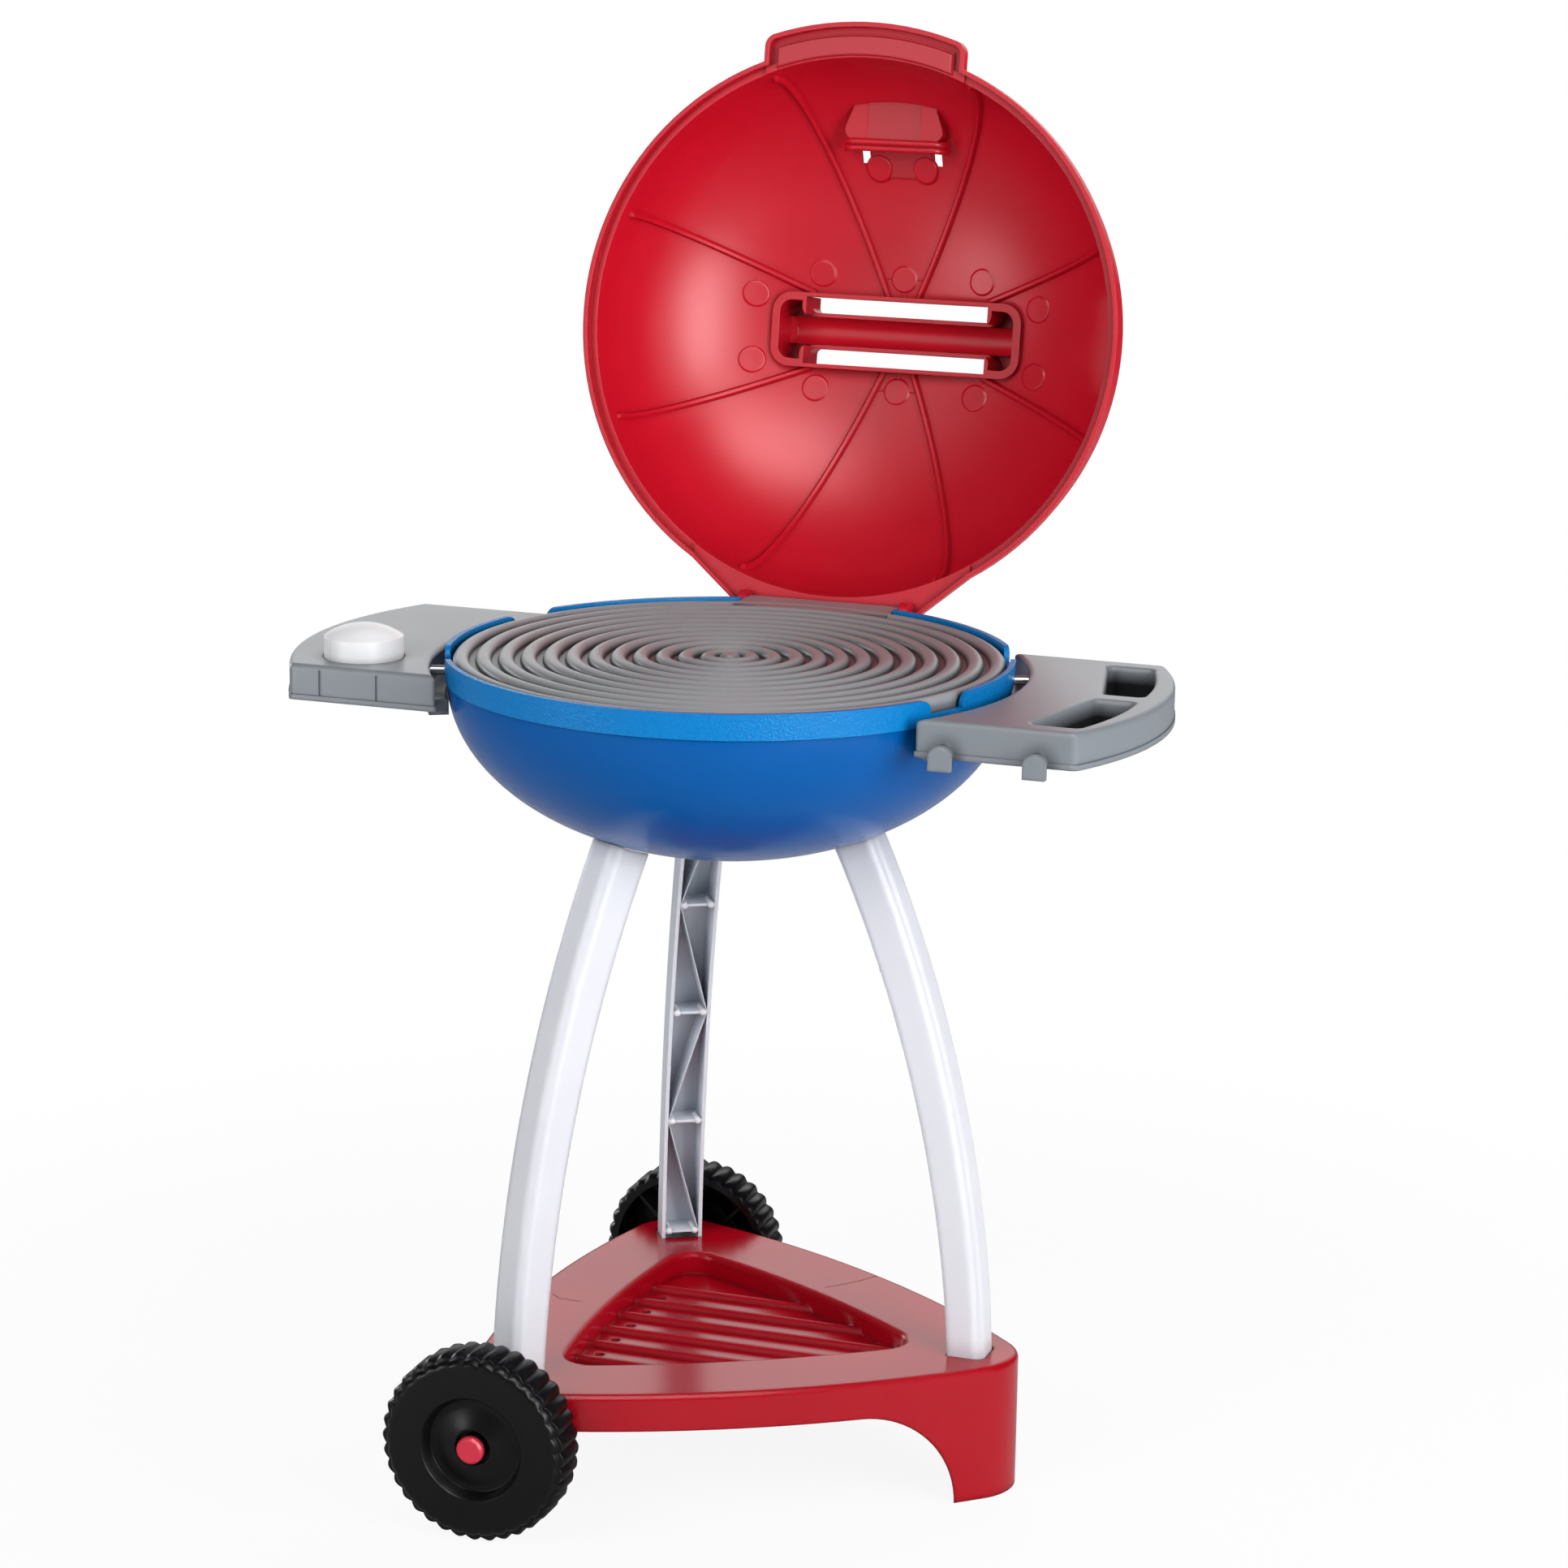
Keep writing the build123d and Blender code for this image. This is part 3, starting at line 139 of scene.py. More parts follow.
# %% [markdown]
# ## One recipe for moulded plastic
#
# Most of the toy is polypropylene, a slightly waxy plastic whose colour goes right through and whose
# highlights have soft edges. Every plastic here has the same five traits, in different amounts:
# faint wide clouds in its pigment, which also sway its gloss a little, a fine grain from the mould,
# corners that are rounded a little so that they catch the light, deep grooves darkened by a painted
# shade, and a gloss. Five traits that only differ in amount are best written once.
#
# A mould's real grain is a tenth of a millimetre or so. The picture's pixels are half a millimetre
# wide on the grill, so the grain is drawn as coarse as it needs to be to show.

# %% Define the moulded plastic
gloss_sway = 0.03
fleck_least = 0.78
fleck_from, fleck_to = 0.38, 0.62


def moulded_plastic(name, colour, shade, roughness, grain_mm, grain_depth_mm, cloud_mm=60.0,
                    specular=0.5, edge_mm=0.7, crevice_mm=4.0, crevice_depth=0.35,
                    grain_above=None, grain_sheen_colour=None, shade_mask=None):
    """A moulded skin: faint wide clouds, a fine grain, and edges rounded in the shading.

    colour and shade are the two ends of the clouds. The grain's lumps and depth are in
    millimetres. With grain_above they are kept to the part of the piece above that height in
    metres, and that part is flecked with a lighter colour, a painted sheen for the light that the
    grain scatters. In crevices narrower than crevice_mm a painted shade takes up to crevice_depth
    of the colour and the gloss, by the square of how open they are, and shade_mask may paint a
    part of the piece darker still."""
    material, tree, place = empty_material(name)
    cloud = add_node(tree, "TexNoise", {"Vector": place, "Detail": 2.0,
                                        "Scale": 1.0 / (cloud_mm * millimetre)})
    tint = add_node(tree, "Mix", {0: cloud, 6: linear(shade), 7: linear(colour)},
                    data_type="RGBA")
    rough = add_node(tree, "MapRange", {"Value": cloud, "To Min": roughness - gloss_sway,
                                        "To Max": roughness + gloss_sway})
    grain = add_node(tree, "TexNoise", {"Vector": place, "Detail": 3.0,
                                        "Scale": 1.0 / (grain_mm * millimetre)})
    # The lighter flecks above grain_above are a painted sheen for the light that the grain scatters.
    if grain_above is not None:
        height = add_node(tree, "SeparateXYZ", {0: place}).outputs["Z"]
        above = add_node(tree, "Math", {0: height, 1: grain_above}, operation="GREATER_THAN")
        fleck = add_node(tree, "MapRange", {"Value": grain, "From Min": fleck_from,
                                            "From Max": fleck_to, "To Min": fleck_least})
        share = add_node(tree, "Math", {0: above, 1: fleck}, operation="MULTIPLY")
        tint = add_node(tree, "Mix", {0: share, 6: tint, 7: linear(grain_sheen_colour)},
                        data_type="RGBA")
        grain = add_node(tree, "Math", {0: grain, 1: above}, operation="MULTIPLY")
    edge = add_node(tree, "Bevel", {"Radius": edge_mm * millimetre}, samples=4)
    bump = add_node(tree, "Bump", {"Height": grain, "Strength": 1.0, "Normal": edge,
                                   "Distance": grain_depth_mm * millimetre})
    # Painted shade: ambient occlusion darkens the colour and the gloss in crevices.
    crevice = add_node(tree, "AmbientOcclusion", {"Distance": crevice_mm * millimetre}, samples=8)
    openness = add_node(tree, "Math", {0: crevice.outputs["AO"], 1: 2.0}, operation="POWER")
    light_share = add_node(tree, "MapRange", {"Value": openness, "To Min": 1.0 - crevice_depth})
    if shade_mask is not None:
        kept = add_node(tree, "Math", {0: 1.0, 1: shade_mask(tree, place)}, operation="SUBTRACT")
        light_share = add_node(tree, "Math", {0: light_share, 1: kept}, operation="MULTIPLY")
    shown = add_node(tree, "VectorMath", {0: tint, 1: light_share}, operation="MULTIPLY")
    shine = add_node(tree, "Math", {0: light_share, 1: specular}, operation="MULTIPLY")
    skin = add_node(tree, "BsdfPrincipled", {"Base Color": shown, "Roughness": rough,
                                             "Normal": bump, "IOR": 1.5,
                                             "Specular IOR Level": shine})
    add_node(tree, "OutputMaterial", {"Surface": skin})
    return material


print("clouds sway the gloss by", gloss_sway)

# %% [markdown]
# ## The red plastics
#
# Each material is named for what it is. The lid is satin, so the soft boxes show in it as broad
# pale patches. Its etched faces are rougher, and their pinker colour is a painted sheen for the
# light that the etching scatters. The base is glossy: its top mirrors the pale backdrop as a veil
# and the legs as soft dark streaks. A knit line is a darker hairline in the same plastic. The axle's
# head is a brighter, satin nylon.

# %% Make the red plastics
lid_red = moulded_plastic("lid_red_satin_polypropylene", "#C80F28", "#C00A22", 0.34, 0.9, 0.004,
                          specular=0.45, crevice_mm=5.0)
# Painted sheen: the etched faces' pinker colour stands in for the light that their etching scatters.
etched_sheen_red = moulded_plastic("lid_red_etched_sheen_polypropylene", "#BA2632", "#B2202C", 0.40, 0.7,
                             0.006, specular=0.45, edge_mm=1.2)
base_red = moulded_plastic("base_red_glossy_polypropylene", "#A60619", "#9E0416", 0.20, 1.2,
                           0.002, specular=0.42, edge_mm=3.0)
knit_red = moulded_plastic("base_red_knit_line", "#7C0A18", "#740814", 0.4, 0.7, 0.002)
axle_red = moulded_plastic("axle_red_satin_nylon", "#D02A40", "#C8243A", 0.35, 0.7, 0.003)
print("reds:", lid_red.name, etched_sheen_red.name, base_red.name, knit_red.name, axle_red.name)

# %% [markdown]
# ## The blue, the greys, the whites and the black
#
# The bowl is smooth and glossy, and so a deep even blue, but the band round its rim was moulded
# against an etched tool and is flecked with a lighter blue: a painted sheen for the light that its
# grain scatters. That grain is coarser than the real one too, or it would be lost at this distance.
# The grate's rings keep their tops pale while a painted shade darkens the grooves between them. The
# legs' outer corners are rounded widely and read as soft tubes, while the rear leg, which shows its
# open channel, keeps crisp edges and is painted a lighter, bluer white, for how the light falls in
# that channel. The wheels are nearly black, with small sharp glints on the lobes. The knob is a clean
# glossy white.

# %% Make the blue, the grate's grey, the whites and the black
band_foot = 519.5 * millimetre
# Painted sheen: the band's lighter blue flecks stand in for the light that its grain scatters.
bowl_blue = moulded_plastic("bowl_blue_glossy_polypropylene", "#0055A0", "#005199", 0.22, 1.6,
                            0.6, specular=0.16, grain_above=band_foot, grain_sheen_colour="#087AC0")
# Painted shade: the deep crevice setting darkens the grooves between the grate's rings.
grate_grey = moulded_plastic("grate_grey_satin_polypropylene", "#96999C", "#909396", 0.36, 0.8,
                             0.004, specular=0.6, crevice_mm=8.0, crevice_depth=0.85)
leg_white = moulded_plastic("leg_white_satin_polypropylene", "#DCDDE3", "#D6D7DE", 0.38, 0.8,
                            0.003, edge_mm=5.0, crevice_mm=14.0, crevice_depth=0.3)
# Painted light: the rear leg's copy of the legs' white is lighter and bluer, for how the light falls
# in its open channel.
channel_painted_light_white = moulded_plastic("leg_channel_painted_light_white_polypropylene", "#E2E8F0", "#DCE2EA", 0.36,
                                0.8, 0.003, edge_mm=0.5, crevice_mm=16.0, crevice_depth=0.2)
wheel_black = moulded_plastic("wheel_black_satin_polyethylene", "#0C0B0D", "#09080A", 0.32, 0.5,
                              0.008, specular=0.24)
knob_white = moulded_plastic("knob_white_glossy_ABS", "#ECECEE", "#E6E6E8", 0.3, 1.0, 0.002)
print("materials so far:", len(bpy.data.materials))

# %% [markdown]
# The shelves are a cool satin grey whose rounded rims catch a thin light. The walls of the two hand
# holds in the right shelf go dark within a few millimetres of its top, because they are narrow and
# deep. Rays alone would leave them too bright beside such pale lamps, and a painted texture would
# need a map of the shelf. A mask by place needs only the walls' own sizes. Their outer side bows
# back by the square of the distance from the middle:
#
#     x(y) = hold_outer - hold_bow * (y / bow_length)^2

# %% Make the shelves' grey
hold_inner, hold_outer = 215.0 * millimetre, 276.0 * millimetre
hold_end = 95.0 * millimetre
hold_bow, bow_length = 16.0 * millimetre, 90.0 * millimetre
shelf_face, full_shade_height = 526.5 * millimetre, 517.0 * millimetre
deepest_shade = 0.93


def hand_hold_shade(tree, place):
    """Nearly 1 deep down on the walls of the two hand holds, 0 elsewhere and on the shelf's top.

    It is the depth below the top, as a share of the way to full shade, times 1 or 0 for each of
    three bounds: inside the bowed outer wall, beyond the inner wall, and between the two ends."""
    axes = add_node(tree, "SeparateXYZ", {0: place})
    beside = add_node(tree, "Math", {0: axes.outputs["Y"], 1: setback}, operation="ADD")
    square = add_node(tree, "Math", {0: beside, 1: beside}, operation="MULTIPLY")
    wall = add_node(tree, "Math", {0: square, 1: -hold_bow / bow_length ** 2, 2: hold_outer},
                    operation="MULTIPLY_ADD")
    aside = add_node(tree, "Math", {0: beside}, operation="ABSOLUTE")
    shade = add_node(tree, "MapRange", {"Value": axes.outputs["Z"], "From Min": shelf_face,
                                        "From Max": full_shade_height, "To Max": deepest_shade})
    for value, bound, test in ((axes.outputs["X"], wall, "LESS_THAN"),
                               (axes.outputs["X"], hold_inner, "GREATER_THAN"),
                               (aside, hold_end, "LESS_THAN")):
        within = add_node(tree, "Math", {0: value, 1: bound}, operation=test)
        shade = add_node(tree, "Math", {0: shade, 1: within}, operation="MULTIPLY")
    return shade


shelf_grey = moulded_plastic("shelf_grey_satin_polypropylene", "#7F858B", "#797F85", 0.32, 0.6,
                             0.006, specular=0.8, edge_mm=3.2, crevice_mm=10.0,
                             crevice_depth=0.6, shade_mask=hand_hold_shade)
print("shelves:", shelf_grey.name)

# %% [markdown]
# ## The steel
#
# The pins, the rod and the screws are made from steel wire and plated with zinc, which leaves a
# pale grey metal with no clear mirror in it. So little of it shows that an even metal is enough. A
# noise of two thirds of a millimetre, coarser than the plating's own, sways its gloss so that no
# pin looks polished.

# %% Make the steel
plating_mm = 2 / 3
brightest, dullest = 0.28, 0.42
steel, tree, place = empty_material("zinc_plated_steel")
plating = add_node(tree, "TexNoise", {"Vector": place, "Detail": 2.0,
                                      "Scale": 1.0 / (plating_mm * millimetre)})
dullness = add_node(tree, "MapRange", {"Value": plating, "To Min": brightest,
                                       "To Max": dullest})
metal = add_node(tree, "BsdfPrincipled", {"Base Color": linear("#B9BABC"), "Metallic": 1.0,
                                          "Roughness": dullness})
add_node(tree, "OutputMaterial", {"Surface": metal})
print("materials:", len(bpy.data.materials))

# %% [markdown]
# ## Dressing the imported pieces
#
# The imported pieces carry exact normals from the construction, so a round stays round and a flat
# stays flat. They only need their materials. The two wheels get theirs as well, though a finer
# wheel takes the place of each one further on.

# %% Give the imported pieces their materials
finishes = {
    "lid": lid_red, "bowl": bowl_blue, "grate": grate_grey, "shelf_left": shelf_grey,
    "shelf_right": shelf_grey, "base_tray": base_red, "leg_front": leg_white,
    "leg_rear": channel_painted_light_white, "leg_right": leg_white, "knob": knob_white, "axle_front": axle_red,
    "axle_rear": axle_red, "wheel_front": wheel_black, "wheel_rear": wheel_black,
    "hinge_rod": steel, "shelf_pins_left": steel, "shelf_pins_right": steel,
    "knob_washer": steel, "knob_screw": steel, "leg_screws_upper": steel,
    "leg_screws_lower": steel,
}
for node_name, finish in finishes.items():
    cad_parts[node_name].data.materials.clear()
    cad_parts[node_name].data.materials.append(finish)
print("dressed pieces:", len(finishes), "of", len(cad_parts))

# %% [markdown]
# ## Surfaces from formulas
#
# The finer pieces could be modelled by hand with sweeps and cuts. Here each is a surface of two
# parameters, because its shape then follows from a few sizes that can be read and changed. A
# function gives a grid of points, and `surface` turns the grid into a mesh: it merges seams and
# poles and turns a closed body's faces outwards. A profile that is spun about an axis, a ridge that
# runs along a path and a raised disc all go through it.

# %% Define the surface builder
merge_distance = 0.002 * millimetre


def link(piece, body, finish):
    """Give a new piece its material and its body, and put it in the scene."""
    piece.data.materials.append(finish)
    bpy.context.scene.collection.objects.link(piece)
    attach(piece, body)
    return piece


def surface(name, grids, body, finish, wrap_u=False, wrap_v=False, sharp_angle=40,
            closed=True):
    """A mesh from one or more grids of points[u, v].

    Each face joins (u, v), (u+1, v), (u+1, v+1) and (u, v+1). wrap_u and wrap_v join the last row
    or column to the first. Doubles at seams and poles are merged. A closed body has its faces
    turned outwards; an open sheet keeps the side that its u and v give it."""
    vertices, faces, offset = [], [], 0
    for points in grids:
        count_u, count_v = points.shape[:2]
        u = np.arange(count_u if wrap_u else count_u - 1)
        v = np.arange(count_v if wrap_v else count_v - 1)
        u, v = (grid.ravel() for grid in np.meshgrid(u, v, indexing="ij"))
        next_u, next_v = (u + 1) % count_u, (v + 1) % count_v
        faces.append(offset + np.stack([u * count_v + v, next_u * count_v + v,
                                        next_u * count_v + next_v, u * count_v + next_v], axis=1))
        vertices.append(points.reshape(-1, 3))
        offset += count_u * count_v
    mesh = bpy.data.meshes.new(name)
    mesh.from_pydata(np.concatenate(vertices).tolist(), [], np.concatenate(faces).tolist())
    shape = bmesh.new()
    shape.from_mesh(mesh)
    bmesh.ops.remove_doubles(shape, verts=shape.verts, dist=merge_distance)
    if closed:
        bmesh.ops.recalc_face_normals(shape, faces=shape.faces)
    shape.to_mesh(mesh)
    shape.free()
    mesh.polygons.foreach_set("use_smooth", [True] * len(mesh.polygons))
    mesh.set_sharp_from_angle(angle=radians(sharp_angle))
    return link(bpy.data.objects.new(name, mesh), body, finish)


def smoothstep(low_value, high_value, value):
    """3 k^2 - 2 k^3 with k the share of the way from low to high, held between 0 and 1."""
    k = np.clip((value - low_value) / (high_value - low_value), 0.0, 1.0)
    return k * k * (3.0 - 2.0 * k)


print("halfway up the smooth step:", float(smoothstep(0.0, 1.0, 0.5)))

# %% [markdown]
# ## Inside the lid
#
# The lid stands open and shows its inside, so most of the fine detail goes there. Working in the
# tilted frame would make each place awkward, and it is easiest to describe the lid as if it were
# shut: x to the right, s towards its front lip and t upwards from its rim. `on_lid` turns such a
# place into the standing-open frame. The inside of the dome is a quarter ellipse spun about the
# lid's axis, on a short upright wall:
#
#     t(r) = foot + rise * sqrt(1 - (r / radius)^2)

# %% Describe the open lid
open_turn = radians(99.5)
hinge_reach = 188.0 * millimetre
hinge = np.array([0.0, hinge_reach - setback, 530.0 * millimetre])
seat_over_hinge = 2.3 * millimetre
dome_radius = 180.5 * millimetre
dome_rise = 102.5 * millimetre
dome_foot = 26.9 * millimetre


def on_lid(x, s, t):
    """Turn lid places (x, s, t) about the hinge by the opening angle.

    With back and up measured from the hinge, y = hinge y + back * cos + up * sin of the angle, and
    z = hinge z - back * sin + up * cos."""
    x, s, t = np.broadcast_arrays(x, s, t)
    back = -(s + hinge_reach)
    up = t + seat_over_hinge
    return np.stack([x,
                     hinge[1] + back * cos(open_turn) + up * sin(open_turn),
                     hinge[2] - back * sin(open_turn) + up * cos(open_turn)], axis=-1)


def dome_height(r):
    """foot + rise * sqrt(1 - (r / radius)^2), the height of the dome's inside above the rim."""
    return dome_foot + dome_rise * np.sqrt(np.clip(1.0 - (r / dome_radius) ** 2, 0.0, 1.0))


print("lid centre:", on_lid(0.0, 0.0, 0.0))

# %% [markdown]
# Eight soft ridges stiffen the dome and run from the handle's well to the rim. A curve with a round
# profile could be swept along it, but would meet the dome in a hard line. Instead each ridge is a
# strip of the dome itself with a smooth bump across it, so it has no hard foot. The last share of
# its length runs down the upright wall, and its tip fades there.

# %% Raise the eight ridges
ridge_count = 8
ridge_height = 3.0 * millimetre
ridge_crown = 0.8 * millimetre
ridge_half = 3.1 * millimetre
ridge_foot = 19.5 * millimetre
ridge_sink = 0.15 * millimetre
well_half_width = 26.0 * millimetre
wall_share, tip_share = 0.07, 0.03


def lid_ridge(angle):
    """The dome's path at an angle, moved inwards by a flat-topped bump that fades to both sides.

    The path is r = radius * cos(swing), t = foot + rise * sin(swing), and then straight down the
    wall. The bump moves it along the ellipse's normal, (cos / radius, sin / rise) over its length."""
    start_swing = np.arccos(well_half_width / abs(sin(angle)) / dome_radius)
    along = np.linspace(0.0, 1.0, 100)[:, None]
    across = np.linspace(-1.0, 1.0, 25)[None, :] * ridge_half
    swing = np.clip(1.0 - along / (1.0 - wall_share), 0.0, 1.0) * start_swing
    drop = np.clip((along - 1.0) / wall_share + 1.0, 0.0, 1.0) * (dome_foot - ridge_foot)
    outward_r, outward_t = np.cos(swing) / dome_radius, np.sin(swing) / dome_rise
    length = np.hypot(outward_r, outward_t)
    bump = ridge_height * smoothstep(0.0, tip_share, 1.0 - along)
    bump = bump * (1.0 - smoothstep(ridge_crown, ridge_half, np.abs(across))) - ridge_sink
    r = dome_radius * np.cos(swing) - bump * outward_r / length
    t = dome_foot + dome_rise * np.sin(swing) - drop - bump * outward_t / length
    return on_lid(r * cos(angle) - across * sin(angle), r * sin(angle) + across * cos(angle), t)


ridges = [lid_ridge(2 * pi * (number + 0.5) / ridge_count) for number in range(ridge_count)]
surface("lid_ridges", ridges, "lid", lid_red, closed=False)
print("ridges:", len(ridges))

# %% [markdown]
# Ten shallow discs, where pins pushed the lid out of its mould, ring the well. A flat cylinder
# would stick out of the curved dome at one side and sink into it at the other. These are rings of
# points laid on the dome and lifted off it, with a soft step down at the edge.

# %% Raise the ejector discs
disc_radius = 9.8 * millimetre
disc_height = 1.1 * millimetre
disc_chamfer = 1.7 * millimetre
disc_rings = np.array([0.0, 0.5, 0.8, 0.84, 0.88, 0.92, 0.96, 1.0])
middle_disc_s = 39.0 * millimetre
next_disc_x, next_disc_s = 58.0 * millimetre, 40.0 * millimetre
end_disc_x, end_disc_s = 102.5 * millimetre, 23.0 * millimetre
disc_places = [(0.0, side * middle_disc_s) for side in (-1, 1)]
disc_places += [(end * next_disc_x, side * next_disc_s) for end in (-1, 1) for side in (-1, 1)]
disc_places += [(end * end_disc_x, side * end_disc_s) for end in (-1, 1) for side in (-1, 1)]


def lid_disc(centre_x, centre_s, height):
    """A disc on the dome: full height up to the chamfer, then a smooth step down to nothing.

    Its rings turn clockwise, so that the faces look into the lid."""
    reach = disc_rings[:, None] * disc_radius
    turn = -np.linspace(0.0, 2 * pi, 48, endpoint=False)[None, :]
    x = centre_x + reach * np.cos(turn)
    s = centre_s + reach * np.sin(turn)
    rise = height * (1.0 - smoothstep(disc_radius - disc_chamfer, disc_radius, reach))
    return on_lid(x, s, dome_height(np.hypot(x, s)) - rise + ridge_sink / 2)


surface("lid_discs", [lid_disc(x, s, disc_height) for x, s in disc_places], "lid",
        lid_red, wrap_v=True, closed=False)
print("discs:", len(disc_places))

# %% [markdown]
# The two middle discs carry thin raised lines to their left, to their right and towards the well.
# Lines this fine could be bump in the material, but bump has no edge that catches the light from
# the side. Each is a narrow strip that rises and falls again across its width.

# %% Draw the lines by the middle discs
line_near, line_far = 9.0 * millimetre, 15.0 * millimetre
line_high, line_low = 30.0 * millimetre, 26.0 * millimetre
line_half_width, line_rise = 0.7 * millimetre, 0.7 * millimetre


def lid_line(start, end):
    """A thin raised line on the dome between two (x, s) places, with a parabola across it."""
    start, end = np.array(start), np.array(end)
    run = end - start
    direction = run / np.hypot(*run)
    along = np.linspace(0.0, 1.0, 12)[:, None]
    across = np.linspace(-1.0, 1.0, 7)[None, :]
    x = start[0] + run[0] * along - direction[1] * line_half_width * across
    s = start[1] + run[1] * along + direction[0] * line_half_width * across
    t = dome_height(np.hypot(x, s)) - line_rise * (1.0 - across ** 2) + ridge_sink / 2
    return on_lid(x, s, t)


lines = []
for side in (-1, 1):
    for end in (-1, 1):
        lines.append(lid_line((end * line_near, side * middle_disc_s),
                              (end * line_far, side * middle_disc_s)))
    lines.append(lid_line((0.0, side * line_high), (0.0, side * line_low)))
surface("lid_lines", lines, "lid", lid_red, closed=False)
print("lines:", len(lines))

# %% [markdown]
# The handle's bar is hollow: seen from inside the lid it is a trough with half an ellipse across
# it. It could be cut out of the bar, but only its inside is ever seen, so one curved sheet laid in
# the bar is enough. Towards both ends its depth falls away in a rounded stop.

# %% Hollow the handle's trough
trough_half, trough_end = 9.6 * millimetre, 86.0 * millimetre
trough_rim, trough_depth = 134.5 * millimetre, 10.4 * millimetre
stop_start = 0.93
along = np.linspace(-1.0, 1.0, 80)[:, None]
turn = np.linspace(0.0, pi, 33)[None, :]
end_share = np.sqrt(np.clip(1.0 - smoothstep(stop_start, 1.0, np.abs(along)) ** 2, 0.0, 1.0))
points = on_lid(along * trough_end, trough_half * np.cos(turn),
                trough_rim + trough_depth * np.sin(turn) * end_share)
surface("lid_handle_trough", [points], "lid", lid_red, closed=False)
print("trough length:", 2 * trough_end)

# %% [markdown]
# The front lip has a flat, etched land inside its groove. An extruded outline with a bevel would
# give it. Here it is a band between two arcs about the lid's axis, and each point is set back by
# how near it lies to the closest edge, so that the rounding comes out even all the way round.

# %% Lay the lip's land
land_inner, land_outer, land_half = 181.6 * millimetre, 195.2 * millimetre, 62.0 * millimetre
land_face, land_foot, land_round = 1.2 * millimetre, 4.0 * millimetre, 1.0 * millimetre
across = np.linspace(-land_half, land_half, 90)[:, None]
reach = np.linspace(land_inner, land_outer, 40)[None, :]
from_edge = np.minimum(np.minimum(reach - land_inner, land_outer - reach),
                       land_half - np.abs(across))
depth = land_face + (land_foot - land_face) * (1.0 - smoothstep(0.0, land_round, from_edge))
points = on_lid(across, np.sqrt(reach ** 2 - across ** 2), depth)
surface("lid_lip_land", [points], "lid", etched_sheen_red, closed=False)
print("land width:", round(land_outer - land_inner, 4))

# %% [markdown]
# ## The vent pocket
#
# The pocket in the lid's front is a box with a flat etched face whose two sides turn away in
# quarter rounds. A bevelled cube would do as well. One profile pulled straight along s is
# simpler, because the box's foot and top are hidden by the flange and by the dome.

# %% Face the vent pocket
box_flat, box_round, box_face = 17.5 * millimetre, 7.0 * millimetre, 77.2 * millimetre
box_foot, box_top = 130.5 * millimetre, 160.0 * millimetre
turn = np.linspace(0.0, pi / 2, 14)
side_x = np.concatenate([[0.0], box_flat + box_round * np.sin(turn)])
side_t = np.concatenate([[0.0], box_round * (1.0 - np.cos(turn))])
across = np.concatenate([-side_x[::-1], side_x[1:]])[:, None]
depth = box_face + np.concatenate([side_t[::-1], side_t[1:]])[:, None]
s = np.linspace(box_foot, box_top, 24)[None, :]
surface("lid_pocket_box", [on_lid(across, s, depth)], "lid", etched_sheen_red,
        closed=False)
print("face width:", 2 * (box_flat + box_round))

# %% [markdown]
# A flange of two rolls runs along the pocket's foot. It is straight in the middle, and its ends
# bend back into the dome. A bevelled curve would need its handles placed by eye. A tube whose
# middle line is a formula bends by just the depth that is asked.

# %% Roll the pocket's flange
flange_half, flange_radius = 37.5 * millimetre, 2.3 * millimetre
flange_s, flange_t = 130.0 * millimetre, 78.0 * millimetre
bend_start, bend_depth = 27.0 * millimetre, 11.0 * millimetre
second_roll_s, second_roll_t = -4.2 * millimetre, 1.0 * millimetre


def flange_points(s_shift, t_shift):
    """A roll whose ends bend away: t falls back by 1 - sqrt(1 - k^2) over the last stretch."""
    along = np.sin(np.linspace(-pi / 2, pi / 2, 90))[:, None] * flange_half
    turn = np.linspace(0.0, 2 * pi, 20, endpoint=False)[None, :]
    k = np.clip((np.abs(along) - bend_start) / (flange_half - bend_start), 0.0, 1.0)
    back = bend_depth * (1.0 - np.sqrt(np.clip(1.0 - k * k, 0.0, 1.0)))
    return on_lid(along, flange_s + s_shift + flange_radius * np.cos(turn),
                  flange_t + t_shift + back + flange_radius * np.sin(turn))


rolls = [flange_points(0.0, 0.0), flange_points(second_roll_s, second_roll_t)]
surface("lid_pocket_flange", rolls, "lid", lid_red, wrap_v=True, closed=False)
print("rolls:", len(rolls))

# %% [markdown]
# Beneath the flange, between the two vent windows, is a small etched plate, and two round bosses
# lap over its corners. The plate is a patch of the dome that rises by a smooth step at three of
# its edges, so it follows the dome's curve. A boss is one of the discs from above, made taller.

# %% Lay the vent plate and its bosses
plate_half, plate_low, plate_high = 22.4 * millimetre, 107.0 * millimetre, 129.0 * millimetre
plate_rise, plate_round = 1.3 * millimetre, 1.2 * millimetre
boss_x, boss_s, boss_height = 16.6 * millimetre, 113.6 * millimetre, 2.4 * millimetre
x = np.linspace(-plate_half, plate_half, 80)[:, None]
s = np.linspace(plate_low, plate_high, 40)[None, :]
rise = plate_rise * smoothstep(0.0, plate_round, plate_half - np.abs(x))
rise = rise * smoothstep(0.0, plate_round, s - plate_low)
points = on_lid(x, s, dome_height(np.hypot(x, s)) - rise + ridge_sink)
surface("lid_vent_plate", [points], "lid", etched_sheen_red, closed=False)
bosses = [lid_disc(side * boss_x, boss_s, boss_height) for side in (-1, 1)]
surface("lid_vent_bosses", bosses, "lid", lid_red, wrap_v=True, closed=False)

